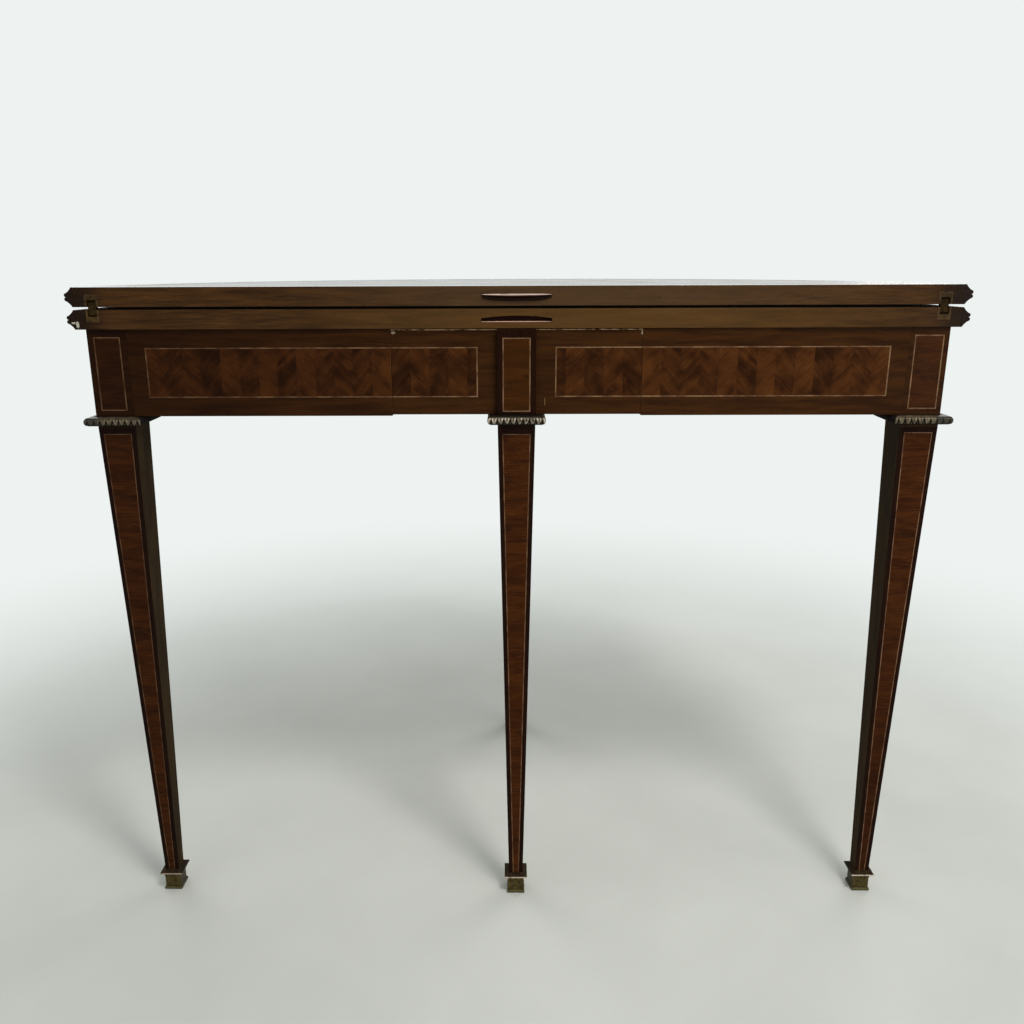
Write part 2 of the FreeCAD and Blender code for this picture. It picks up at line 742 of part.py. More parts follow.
# Cross rail, between the curved rails. It carries the back ends of the runners.
cross_back = curved_rail_radius - size.cross_rail_setback
cross_front = cross_back - size.cross_rail_thickness
cross_radius = curved_rail_radius - size.curved_rail_thickness - size.cross_rail_fit
body = new_body("cross_rail")
plan = new_sketch(body, "cross_rail_plan", "XY_Plane", apron_bottom)
front_reach_x = chord(cross_radius, cross_front)
back_reach_x = chord(cross_radius, cross_back)
outline(plan, [(-front_reach_x, cross_front), (front_reach_x, cross_front),
               (back_reach_x, cross_back), (-back_reach_x, cross_back)],
        {1: ((ZERO, ZERO), True), 3: ((ZERO, ZERO), True)})
pad(body, "cross_rail_board", plan, size.cross_rail_height)


# Runners, an L section that guides and carries the slide box, and kickers that keep it level.
side_low = slide_bottom_level + size.side_lift
side_high = side_low + size.side_height
side_back = cross_front - size.slide_back_gap
ledge_top = side_low - size.running_clearance
for side, sign in SIDES:
    label = side + "_runner"
    body = new_body(label, y=cross_front)
    section = new_sketch(body, label + "_section", "XZ_Plane")
    front = rail_back + size.running_clearance
    ledge = slide_side - size.runner_ledge
    wall = slide_side + size.runner_wall
    corners = [(ledge, apron_bottom), (wall, apron_bottom), (wall, apron_bottom + size.cross_rail_height),
               (slide_side, apron_bottom + size.cross_rail_height), (slide_side, ledge_top),
               (ledge, ledge_top)]
    outline(section, [(across * sign, level) for across, level in corners])
    pad(body, label + "_bar", section, cross_front - front)
    left, right = (slide_side - size.kicker_width, slide_side) if sign > 0 else (
        -slide_side, -slide_side + size.kicker_width)
    board(side + "_kicker", left, right, front, cross_front,
          side_high + size.running_clearance, leaf_bottom)


# Slide. Two short wings of apron, tenoned into the leg, carry a shallow box behind them.
for side, sign in SIDES:
    label = side + "_slide_wing"
    body = new_body(label)
    plan = new_sketch(body, label + "_plan", "XY_Plane", slide_bottom_level)
    left, right = (half_block, size.slide_half_width) if sign > 0 else (-size.slide_half_width, -half_block)
    rectangle(plan, left, right, size.frame_setback, rail_back)
    pad(body, label + "_board", plan, slide_top_level - slide_bottom_level)
    tenon = new_sketch(body, label + "_tenon_plan", "XY_Plane", tenon_bottom)
    tip = half_block - size.short_tenon_length
    left, right = (tip, half_block) if sign > 0 else (-half_block, -tip)
    rectangle(tenon, left, right, rail_middle - half_tenon, rail_middle + half_tenon)
    pad(body, label + "_tenon", tenon, size.tenon_height)

bottom_low = side_low + size.bottom_lift
bottom_high = bottom_low + size.bottom_thickness
inner_side = size.slide_half_width - size.side_thickness
back_front = side_back - size.side_thickness
for side, sign in SIDES:
    label = side + "_slide_side"
    body = new_body(label, y=side_back)
    section = new_sketch(body, label + "_section", "XZ_Plane")
    corners = [(inner_side, side_low), (size.slide_half_width, side_low), (size.slide_half_width, side_high),
               (inner_side, side_high), (inner_side, bottom_high),
               (inner_side + size.groove_depth, bottom_high),
               (inner_side + size.groove_depth, bottom_low), (inner_side, bottom_low)]
    outline(section, [(across * sign, level) for across, level in corners])
    pad(body, label + "_board", section, side_back - rail_back)

body = new_body("slide_bottom", z=bottom_low)
plan = new_sketch(body, "slide_bottom_plan", "XY_Plane")
edge = inner_side + size.groove_depth
leg_back = slide_leg_y + half_block
outline(plan, [(-edge, rail_back), (-half_block, rail_back), (-half_block, leg_back), (half_block, leg_back),
               (half_block, rail_back), (edge, rail_back), (edge, side_back), (-edge, side_back)])
pad(body, "slide_bottom_panel", plan, size.bottom_thickness)
board("slide_back", -inner_side, inner_side, back_front, side_back, bottom_high, side_high)


# Stops. Two blocks on the cross rail meet the closed box, and a batten under the leaf meets the
# box's back when the leg is fully out. A length of the box then still lies between the runners.
slide_travel = side_back - rail_back - size.slide_hold
stops = []
for side, sign in SIDES:
    inner = inner_side - size.rest_stop_width
    left, right = (inner, inner_side) if sign > 0 else (-inner_side, -inner)
    stops.append(board(side + "_rest_stop", left, right, side_back + size.running_clearance,
                       cross_front, bottom_high, bottom_high + size.rest_stop_height))
group("slide_rest_stops", stops)
stop_back = back_front - slide_travel - size.running_clearance
board("travel_stop", -size.travel_stop_half_width, size.travel_stop_half_width,
      stop_back - size.travel_stop_depth, stop_back, side_high - size.travel_stop_overlap, leaf_bottom)


# Corner blocks, three-cornered and glued behind the straight rails against the end legs, and
# glue blocks that hold the rails to the fixed leaf.
corner_blocks = []
for side, sign in SIDES:
    label = side + "_corner_block"
    body = new_body(label)
    plan = new_sketch(body, label + "_plan", "XY_Plane", tenon_bottom)
    leg_face = (end_leg_x - half_block) * sign
    across = leg_face - size.block_side * sign
    outline(plan, [(leg_face, rail_back), (leg_face, rail_back + size.block_side), (across, rail_back)])
    pad(body, label + "_prism", plan, size.block_height)
    corner_blocks.append(body)
group("corner_blocks", corner_blocks)

RAIL_BLOCK_SHARES = (0.3, 0.7)
CURVE_BLOCK_ANGLES = (30, 55)
glue_blocks = []
block_low = leaf_bottom - size.glue_block_side
leg_face = end_leg_x - half_block
block_reach = chord(cross_radius, size.glue_block_length / 2) - size.glue_block_side
for side, sign in SIDES:
    for number, share in enumerate(RAIL_BLOCK_SHARES, start=1):
        middle = (slide_side + (leg_face - slide_side) * share) * sign
        half = size.glue_block_length / 2
        glue_blocks.append(board("%s_rail_block_%d" % (side, number), middle - half, middle + half,
                                 rail_back, rail_back + size.glue_block_side, block_low, leaf_bottom))
    for number, angle in enumerate(CURVE_BLOCK_ANGLES, start=1):
        heading = angle if sign > 0 else 180 - angle
        item = doc.addObject("Part::Box", "%s_curve_block_%d" % (side, number))
        item.setExpression("Length", size.glue_block_side.text)
        item.setExpression("Width", size.glue_block_length.text)
        item.setExpression("Height", size.glue_block_side.text)
        across = math.cos(math.radians(heading))
        along = math.sin(math.radians(heading))
        half = size.glue_block_length / 2
        place(item, block_reach * across + half * along, block_reach * along - half * across,
              block_low, FreeCAD.Rotation(FreeCAD.Vector(0, 0, 1), heading))
        glue_blocks.append(item)
group("glue_blocks", glue_blocks)


# Write each piece. A group's members are written with their group only.
doc.recompute()
failed = [item.Label for item in doc.Objects if "Invalid" in item.State or "Error" in item.State]
if failed:
    raise RuntimeError("these did not build: " + ", ".join(failed))
members = {member for item in doc.Objects if item.TypeId == "Part::Compound" for member in item.Links}
kinds = ("PartDesign::Body", "Part::Box", "Part::Compound")
pieces = [item for item in doc.Objects if item.TypeId in kinds and item not in members]
for piece in pieces:
    if piece.Shape.isNull() or not piece.Shape.isValid() or not piece.Shape.Solids:
        raise RuntimeError("this piece has no sound shape: " + piece.Label)
os.makedirs("parts", exist_ok=True)
for piece in pieces:
    piece.Shape.exportStep("parts/%s.step" % piece.Label)
    print("%-26s %2d solid  %12.1f mm3" % (piece.Label, len(piece.Shape.Solids), piece.Shape.Volume))
print(len(pieces), "pieces")
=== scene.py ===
import math

import bmesh
import bpy
from mathutils import Matrix, Vector


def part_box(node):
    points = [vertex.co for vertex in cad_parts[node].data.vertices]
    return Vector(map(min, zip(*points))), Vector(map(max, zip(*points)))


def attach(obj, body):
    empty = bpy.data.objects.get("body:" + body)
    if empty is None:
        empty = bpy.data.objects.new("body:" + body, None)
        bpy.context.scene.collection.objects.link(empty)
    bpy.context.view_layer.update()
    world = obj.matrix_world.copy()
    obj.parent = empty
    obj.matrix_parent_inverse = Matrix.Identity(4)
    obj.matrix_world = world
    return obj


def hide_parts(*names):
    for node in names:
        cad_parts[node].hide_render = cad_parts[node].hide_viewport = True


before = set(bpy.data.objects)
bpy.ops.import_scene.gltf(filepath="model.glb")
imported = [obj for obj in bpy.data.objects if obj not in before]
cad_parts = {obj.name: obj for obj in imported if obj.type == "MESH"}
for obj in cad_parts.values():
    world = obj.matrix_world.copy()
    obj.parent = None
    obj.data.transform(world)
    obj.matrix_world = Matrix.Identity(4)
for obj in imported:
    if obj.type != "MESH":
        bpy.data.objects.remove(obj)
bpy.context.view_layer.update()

# A half-round card table that folds shut, seen from its straight, hinged side. Lengths are in
# millimetres until a point is placed, and its curves are struck from the middle of that side.

# Legs. Four square legs with a straight taper, each mortised for its rails. They are veneered on
# their outward faces with a cross-grained panel inside a dark banding, and left plain inside.
MM = 0.001
centre_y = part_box("lower_leaf")[0].y / MM
leg_toe, leg_neck = 17.5, 42.0
leg_taper_low, leg_taper_high = 24.0, 615.0
string_inset = 5.5
leg_string_low, leg_string_high = 25.0, 608.5
block_strings = {"left_leg": (14.0, 636.0, 716.0), "right_leg": (15.3, 636.0, 716.0),
                 "back_leg": (14.5, 636.0, 716.0), "sliding_leg": (14.7, 634.8, 714.6)}
leg_outward = {"left_leg": (-1, -1), "right_leg": (1, -1), "back_leg": (0, 1), "sliding_leg": (0, -1)}


def place(x, y, z):
    """A point of the table, from millimetres across, behind the straight edge and up."""
    return Vector((x, y + centre_y, z)) * MM


def span(node):
    """A node's lowest and highest corner in the same millimetres."""
    low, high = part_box(node)
    return low / MM - Vector((0, centre_y, 0)), high / MM - Vector((0, centre_y, 0))


class Shade:
    """A socket of a finish's nodes. Python's operators on it add the Math nodes of a formula."""

    def __init__(self, tree, socket=None):
        self.tree = tree
        self.socket = socket

    def node(self, kind, settings, inputs, output=0):
        """Any other node: its type, its settings, then what its sockets get."""
        made = self.tree.nodes.new(kind)
        for name, value in settings.items():
            setattr(made, name, value)
        for name, value in inputs.items():
            if isinstance(value, Shade):
                self.tree.links.new(value.socket, made.inputs[name])
            else:
                made.inputs[name].default_value = value
        return Shade(self.tree, made.outputs[output] if made.outputs else None)

    def maths(self, operation, *terms):
        return self.node("ShaderNodeMath", {"operation": operation}, dict(enumerate(terms)))

    def __add__(self, other):
        return self.maths("ADD", self, other)

    __radd__ = __add__

    def __sub__(self, other):
        return self.maths("SUBTRACT", self, other)

    def __rsub__(self, other):
        return self.maths("SUBTRACT", other, self)

    def __mul__(self, other):
        return self.maths("MULTIPLY", self, other)

    __rmul__ = __mul__

    def __truediv__(self, other):
        return self.maths("DIVIDE", self, other)

    def __rtruediv__(self, other):
        return self.maths("DIVIDE", other, self)

    def __mod__(self, other):
        return self.maths("FLOORED_MODULO", self, other)

    def __rmod__(self, other):
        return self.maths("FLOORED_MODULO", other, self)

    def __gt__(self, other):
        return self.maths("GREATER_THAN", self, other)

    def __lt__(self, other):
        return self.maths("LESS_THAN", self, other)

    def __abs__(self):
        return self.maths("ABSOLUTE", self)

    def rise(self, low, high):
        """0 below low, 1 above high and smooth between."""
        return self.node("ShaderNodeMapRange", {"interpolation_type": "SMOOTHSTEP"},
                         {"Value": self, "From Min": low, "From Max": high})

    def tint(self, first, second, how="MIX"):
        """The first colour where this is 0 and the second where it is 1."""
        return self.node("ShaderNodeMix", {"data_type": "RGBA", "blend_type": how},
                         {0: self, 6: first, 7: second}, 2)

    def reach(self, other):
        """How far off a point is, from its two distances."""
        return self.maths("SQRT", self * self + other * other)

    def noise(self, x, y, z, detail=3.0, roughness=0.55, twist=0.0):
        """Soft noise between 0 and 1 about three coordinates."""
        where = self.node("ShaderNodeCombineXYZ", {}, {"X": x, "Y": y, "Z": z})
        return self.node("ShaderNodeTexNoise", {}, {
            "Vector": where, "Scale": 1.0, "Detail": detail, "Roughness": roughness,
            "Distortion": twist})


def tone(red, green, blue):
    """A colour from the numbers of a picture, as the light that it stands for."""
    levels = [level / 255 for level in (red, green, blue)]
    return [level / 12.92 if level <= 0.04045 else ((level + 0.055) / 1.055) ** 2.4
            for level in levels] + [1.0]


def new_finish(name):
    """A finish with its point's place in millimetres and the way that its face looks."""
    made = bpy.data.materials.new(name)
    made.use_nodes = True
    made.node_tree.nodes.clear()
    start = Shade(made.node_tree)
    spot = start.node("ShaderNodeTexCoord", {}, {}, "Object")
    way = start.node("ShaderNodeTexCoord", {}, {}, "Normal")
    spots = [spot.node("ShaderNodeSeparateXYZ", {}, {0: spot}, axis) / MM for axis in "XYZ"]
    ways = [way.node("ShaderNodeSeparateXYZ", {}, {0: way}, axis) for axis in "XYZ"]
    spots[1] = spots[1] - centre_y
    return made, spots, ways


def close_finish(made, colour, roughness, height=None, depth=0.1, metal=0.0, gleam=0.1, **fixed):
    """Ends a finish with its surface. height is a relief, and depth its reach in millimetres."""
    start = Shade(made.node_tree)
    inputs = {"Base Color": colour, "Roughness": roughness, "Metallic": metal, "Specular IOR Level": gleam}
    if height is not None:
        inputs["Normal"] = start.node("ShaderNodeBump", {}, {
            "Strength": 0.6, "Distance": depth * MM, "Height": height})
    for socket, value in fixed.items():
        inputs[socket.replace("_", " ")] = value
    surface = start.node("ShaderNodeBsdfPrincipled", {}, inputs)
    surface.node("ShaderNodeOutputMaterial", {}, {"Surface": surface})
    return made


def timber(along, across, up, dark, mid, light, seed, figure=9.0, grain=1.0):
    """Colour and relief of a polished timber whose fibres run along the first coordinate."""
    clouds = along.noise(along / 140 + seed, across / 60, up / 60, detail=2.0)
    bands = along.noise(along / 75, across / figure + seed, up / figure, twist=0.6)
    fibres = along.noise(along / 26, across / 0.9, up / 0.9 + seed, detail=4.0, roughness=0.7)
    pores = along.noise(along / 5, across / 0.33, up / 0.33 + seed, detail=1.0).rise(0.6, 0.72)
    colour = bands.rise(0.28, 0.72).tint(dark, mid)
    colour = (fibres.rise(0.42, 0.78) * clouds.rise(0.25, 0.75) * grain).tint(colour, light)
    colour = (pores * 0.55 * grain).tint(colour, dark)
    return colour, fibres * 0.5 - pores


def dress(node, finish, rounding=0.5):
    """Gives a node its finish and softens its sharp edges."""
    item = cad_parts[node]
    item.data.materials.clear()
    item.data.materials.append(finish)
    weld = item.modifiers.new("seams", "WELD")
    weld.merge_threshold = 0.01 * MM
    soften(item, rounding, 40)


def soften(item, rounding, sharpest):
    """Rounds the edges that turn by more than sharpest degrees."""
    bevel = item.modifiers.new("softened_edges", "BEVEL")
    bevel.width = rounding * MM
    bevel.segments = 2
    bevel.limit_method = "ANGLE"
    bevel.angle_limit = math.radians(sharpest)
    bevel.harden_normals = True


def leg_finish(node, outward_x, outward_y):
    low, high = span(node)
    made, (x, y, z), (way_x, way_y, _) = new_finish(node + "_veneer")
    across_x = x - (low.x + high.x) / 2
    across_y = y - (low.y + high.y) / 2
    side = abs(way_x) > 0.5
    across = across_x * (1 - side) + across_y * side
    taper = (leg_neck - leg_toe) / 2 / (leg_taper_high - leg_taper_low)
    half = (z - leg_taper_low) * taper + leg_toe / 2
    shaft = (half - string_inset - abs(across) > 0) * (z > leg_string_low) * (z < leg_string_high)
    block_half, block_low, block_high = block_strings[node]
    block = (block_half - abs(across) > 0) * (z > block_low) * (z < block_high)
    outward = way_y * outward_y > 0.5
    if outward_x:
        outward = outward.maths("MAXIMUM", outward, way_x * outward_x > 0.5)
    panel = (shaft + block) * outward

    seed = low.x / 37 + low.y / 11
    inner, inner_relief = timber(across, z, z * 0 + seed, tone(42, 16, 3), tone(66, 32, 8),
                                 tone(100, 58, 21), seed, figure=12.0, grain=0.7)
    ripples = z.noise(across / 16 + seed, z / 2.6, seed, detail=2.0, twist=0.8)
    inner = (ripples.rise(0.52, 0.72) * 0.25).tint(inner, tone(98, 54, 18))
    banding, banding_relief = timber(z, across_x, across_y, tone(20, 6, 2), tone(32, 12, 4),
                                     tone(52, 24, 8), seed + 3, figure=6.0, grain=0.6)
    plain, plain_relief = timber(z, across_x, across_y, tone(34, 24, 11), tone(50, 36, 17),
                                 tone(66, 50, 27), seed + 5, figure=14.0, grain=0.6)
    smudges = z.noise(z / 15 + seed, across / 45, seed, detail=3.0)
    inner = (smudges.rise(0.55, 0.72) * 0.6).tint(inner, tone(26, 9, 3))
    # The right leg's panel is painted darker towards the toe: painted shade.
    if outward_x > 0:
        inner = (1 - z.rise(60.0, 480.0)).tint(inner, tone(214, 206, 196), "MULTIPLY")
    if outward_x:
        framing, _ = timber(across, z, z * 0, tone(38, 18, 6), tone(56, 31, 11), tone(78, 48, 20),
                            seed + 9, figure=8.0, grain=0.5)
        banding = (z > leg_taper_high).tint(banding, framing)
    colour = outward.tint(plain, banding)
    colour = panel.tint(colour, inner)
    glaze = tone(44, 30, 20) if outward_x else tone(54, 36, 6)
    colour = ((z > leg_taper_high) * panel * 0.26).tint(colour, glaze)
    if outward_x < 0:
        shaded = (z > leg_taper_high).tint(tone(232, 232, 232), tone(192, 184, 176))
        colour = outward.tint(colour, shaded, "MULTIPLY")
    relief = panel * inner_relief + (1 - panel) * (banding_relief + plain_relief) * 0.5
    gloss = z.noise(x / 18, y / 18, z / 40).rise(0.2, 0.8) * 0.14 + 0.27
    gloss = gloss * outward + (1 - outward) * 0.75
    return close_finish(made, colour, gloss, relief, depth=0.06, gleam=0.05)


for node, (outward_x, outward_y) in leg_outward.items():
    dress(node, leg_finish(node, outward_x, outward_y), rounding=0.6)


# Stringing. Strips of pale wood a little over a millimetre wide, let into the veneer and mitred
# at their corners. They frame the panels on the legs, on the rails and on the slide.
panel_string, leg_string, string_proud, string_sunk = 1.3, 1.0, 0.05, 0.3


def string_finish(name, dull, bright):
    made, (x, y, z), _ = new_finish(name)
    wear = x.noise(x / 14, y / 14, z / 14, detail=3.0)
    fibres = x.noise(x / 2.2, y / 2.2, z / 2.2, detail=2.0)
    colour = wear.rise(0.3, 0.7).tint(tone(*dull), tone(*bright))
    colour = (fibres.rise(0.5, 0.8) * 0.5).tint(colour, tone(60, 34, 18))
    # Strings on the left are painted darker: painted shade.
    colour = (1 - x.rise(-450.0, 150.0)).tint(colour, tone(200, 192, 184), "MULTIPLY")
    return close_finish(made, colour, wear * 0.15 + 0.3, fibres, depth=0.03)


panel_stringing = string_finish("pale_stringing", (84, 58, 38), (134, 104, 76))
leg_stringing = string_finish("darkened_stringing", (78, 51, 34), (128, 96, 70))


def string_line(name, body, path, on_face, closed=True, longest=2000.0, width=panel_string,
                finish=panel_stringing):
    """A strip along a path of corners on a face. on_face places across, up and proud."""
    count = len(path)
    spots = [Vector(corner) for corner in path]
    sections = []
    for number in range(count if closed else count - 1):
        sections += string_sections(spots, number, count, closed, longest)
    if not closed:
        sections.append(string_corner(spots, count - 1, count, closed))
    shape = bmesh.new()
    rings = []
    for middle, outward in sections:
        left, right = middle + outward * width / 2, middle - outward * width / 2
        rings.append([shape.verts.new(on_face(*spot, proud)) for spot, proud in (
            (left, -string_sunk), (left, string_proud), (right, string_proud), (right, -string_sunk))])
    skin(shape, rings, closed)
    new_piece(name, shape, finish, body)


def skin(shape, rings, closed=False):
    """Faces from each ring of points to the next. The last joins the first, or both ends are shut."""
    for first, second in zip(rings, rings[1:] + (rings[:1] if closed else [])):
        for point in range(len(first)):
            after = (point + 1) % len(first)
            shape.faces.new((first[point], first[after], second[after], second[point]))
    if not closed:
        shape.faces.new(rings[0])
        shape.faces.new(rings[-1])
    bmesh.ops.recalc_face_normals(shape, faces=shape.faces)


def string_corner(spots, number, count, closed):
    """The middle of a strip at a corner, and how its edge stands off there between its two runs."""
    here = spots[number]
    before = (here - spots[number - 1]).normalized() if closed or number else None
    after = (spots[(number + 1) % count] - here).normalized() if closed or number < count - 1 else None
    before, after = before or after, after or before
    bisector = (before + after).normalized()
    across = Vector((-bisector.y, bisector.x))
    return here, across / bisector.dot(after)


def string_sections(spots, number, count, closed, longest):
    """Sections along one run, from its first corner up to its last one, none apart more than longest."""
    start = string_corner(spots, number, count, closed)
    end = string_corner(spots, (number + 1) % count, count, closed)
    steps = math.ceil((end[0] - start[0]).length / longest)
    shares = [step / steps for step in range(steps)]
    return [(start[0].lerp(end[0], share), start[1].lerp(end[1], share)) for share in shares]


def new_piece(name, shape, finish, body, smooth=False):
    """Makes a piece of a finished shape and lets it ride on its body."""
    mesh = bpy.data.meshes.new(name)
    shape.to_mesh(mesh)
    shape.free()
    if smooth:
        mesh.shade_smooth()
    mesh.materials.append(finish)
    item = bpy.data.objects.new(name, mesh)
    bpy.context.scene.collection.objects.link(item)
    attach(item, body)
    return item


def box_path(left, right, low, high):
    return [(left, low), (right, low), (right, high), (left, high)]


def leg_half(level):
    """Half the width of a leg's shaft at a level."""
    share = (level - leg_taper_low) / (leg_taper_high - leg_taper_low)
    return (leg_toe + (leg_neck - leg_toe) * share) / 2


for node, (outward_x, outward_y) in leg_outward.items():
    body = "slide" if node == "sliding_leg" else "frame"
    low, high = span(node)
    middle_x, middle_y = (low.x + high.x) / 2, (low.y + high.y) / 2
    block_half = (high.x - low.x) / 2
    faces = [("face", 0, outward_y)]
    if outward_x:
        faces.append(("side", outward_x, 0))
    for face, way_x, way_y in faces:
        def on_shaft(across, up, proud, half=None, way_x=way_x, way_y=way_y):
            out = (half or leg_half(up)) + proud
            return place(middle_x + way_x * out + way_y * across, middle_y + way_y * out + way_x * across, up)

        def on_block(across, up, proud):
            return on_shaft(across, up, proud, block_half)

        toe = leg_half(leg_string_low) - string_inset
        hip = leg_half(leg_string_high) - string_inset
        string_line("%s_%s_string" % (node, face), body, [
            (-toe, leg_string_low), (toe, leg_string_low), (hip, leg_string_high), (-hip, leg_string_high)],
            on_shaft, width=leg_string, finish=leg_stringing)
        string_half, string_low, string_high = block_strings[node]
        string_line("%s_%s_block_string" % (node, face), body, box_path(
            -string_half, string_half, string_low, string_high), on_block)


# Collars. A cast bronze moulding mitred round the top of each leg. A plain sloping cap runs into
# a border of pointed leaves with raised edges and small darts between them, and it is hollow below.
leaf_pitch, leaf_relief, collar_nose, corner_leaf = 7.1, 1.0, 32.0, 3.6
collar_columns = 200
# Shares of light left on the collars' inward sides and on the sliding collar's cap, which are painted in
# shade.
inward_lit_share, slide_cap_lit_share = 0.2, 0.3
# The third number of each cap point is how raised and lit it is drawn: low by the leg, where the cap is
# painted in shade.
collar_cap = [(21.1, 0.0, 0.1), (25.0, -0.2, 0.45), (28.0, -0.5, 0.62), (29.6, -0.8, 0.66),
              (30.3, -1.2, 0.85)]
collar_leaves = [(30.7, -1.6), (31.0, -2.2), (31.2, -2.9), (31.35, -3.7), (31.35, -4.5), (31.35, -5.3),
                 (31.25, -6.0), (31.1, -6.7), (30.8, -7.4), (30.5, -8.1), (30.1, -8.7), (29.7, -9.3),
                 (29.2, -9.8)]
collar_under = [(28.4, -10.0), (27.4, -9.8), (27.0, -8.6), (25.6, -7.4), (23.0, -7.0), (21.1, -7.0)]


def collar_finish():
    made, (x, y, z), _ = new_finish("weathered_bronze")
    painted_end_shade = abs(x).rise(458.0, 472.0)
    raised_and_lit = z.node("ShaderNodeAttribute", {"attribute_name": "raised_and_lit"}, {}, "Fac")
    patches = x.noise(x / 6, y / 6, z / 6, detail=4.0)
    grime = x.noise(x / 0.9, y / 0.9, z / 0.9, detail=3.0)
    colour = patches.rise(0.3, 0.72).tint(tone(75, 63, 46), tone(110, 96, 76))
    colour = (grime.rise(0.5, 0.75) * 0.5).tint(colour, tone(46, 41, 32))
    # Dark where the relief is low: patina in the hollows, and painted shade on the cap by the leg and on the
    # inward sides.
    colour = (1 - raised_and_lit.rise(0.15, 0.6)).tint(colour, tone(18, 14, 9))
    # Painted highlight on the raised leaf tips, brightest on the middle collar.
    painted_highlight = abs(x).rise(60.0, 300.0).tint(tone(208, 198, 182), tone(120, 108, 87))
    colour = (raised_and_lit.rise(0.78, 0.98) * patches.rise(0.3, 0.6) * 0.85).tint(colour, painted_highlight)
    # The outer ends are painted darker: painted shade.
    colour = (painted_end_shade * 0.7).tint(colour, tone(34, 38, 35))
    dull = (1 - raised_and_lit.rise(0.15, 0.6)) * 0.45
    return close_finish(made, colour, grime * 0.2 + 0.36 + dull, grime, depth=0.05, metal=0.45, gleam=0.3)


bronze = collar_finish()


def smooth_step(value, low, high):
    share = min(max((value - low) / (high - low), 0.0), 1.0)
    return share * share * (3 - 2 * share)


def leaf_height(along, down):
    """Relief of the leaf border. along runs over the side and down from its top to its lip."""
    far = abs(along)
    if far > collar_nose - corner_leaf:
        off_middle = (collar_nose - far) / corner_leaf
    else:
        off_middle = abs((far / leaf_pitch) % 1 - 0.5) * 2
    inside = 1 - 0.92 * down ** 1.5 - off_middle
    lobe = math.exp(-((inside - 0.42) / 0.3) ** 2)
    vein = math.exp(-(off_middle / 0.11) ** 2) * (1 - 0.8 * down)
    leaf = smooth_step(inside, -0.03, 0.12) * (0.74 + 0.26 * lobe - 0.34 * vein)
    from_gap = 1 - off_middle
    dart = 0.45 * (1 - smooth_step(from_gap, 0.12, 0.24)) * smooth_step(down, 0.5, 0.62)
    return max(leaf, dart) * smooth_step(down, -0.02, 0.08)


def collar(name, node, body):
    low, high = span(node)
    middle = (low + high) / 2
    profile = [(reach, drop, height, None) for reach, drop, height in collar_cap]
    for number, (reach, drop) in enumerate(collar_leaves):
        profile.append((reach, drop, 0.0, number / (len(collar_leaves) - 1)))
    profile += [(reach, drop, 0.0, None) for reach, drop in collar_under]
    shape = bmesh.new()
    raised_and_lit = shape.verts.layers.float.new("raised_and_lit")
    rings = []
    for quarter in range(4):
        turn = Matrix.Rotation(math.radians(90 * quarter), 3, "Z")
        inward = (turn @ Vector((0, -1, 0))).x * middle.x < -1
        for column in range(collar_columns):
            share = -1 + 2 * column / collar_columns
            ring = []
            for reach, drop, height, down in profile:
                out, level = reach, high.z + drop
                # The inward quarters and the sliding collar's cap get a smaller lit share, so they are
                # painted in shade.
                lit_share = inward_lit_share if inward else 1.0
                if body == "slide" and drop > -1.0:
                    lit_share = slide_cap_lit_share
                if down is not None:
                    height = leaf_height(share * collar_nose, down)
                    out += (height * 1.4 - 0.4) * leaf_relief * smooth_step(down, 0.0, 0.2)
                    level += (1 - height) * smooth_step(down, 0.75, 1.0) * 1.2
                spot = turn @ Vector((share * out, -out, 0))
                vert = shape.verts.new(place(middle.x + spot.x, middle.y + spot.y, level))
                vert[raised_and_lit] = height * lit_share
                ring.append(vert)
            rings.append(ring)
    skin(shape, rings, closed=True)
    item = new_piece(name, shape, bronze, body, smooth=True)
    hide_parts(node)


for name, body in (("left", "frame"), ("right", "frame"), ("back", "frame"), ("sliding", "slide")):
    collar(name + "_carved_collar", name + "_collar", body)


# Shoes. A square cast brass cup on each toe, with a flared rim that slopes up to the wood, a
# hollow under it and a small foot. A pin through the front holds it.
shoe_outline = [(11.0, 0.0), (11.3, 0.4), (11.3, 3.0), (11.0, 3.5), (10.2, 4.1), (9.9, 5.2), (9.95, 18.5),
                (10.3, 20.9), (11.4, 22.9), (13.2, 24.1), (14.3, 24.5), (14.5, 24.9), (14.5, 26.0),
                (14.2, 26.4), (12.4, 26.8), (11.5, 27.1), (11.2, 27.6), (11.1, 28.4), (10.6, 28.9),
                (9.8, 29.3), (9.4, 29.5), (9.0, 29.5), (8.95, 24.2), (8.8, 24.0), (8.8, 22.0)]
foot_level, groove_level, lip_level = 3.7, 4.6, 25.5
pin_level, pin_radius, pin_proud, cup_face = 19.0, 1.3, 0.35, 9.95


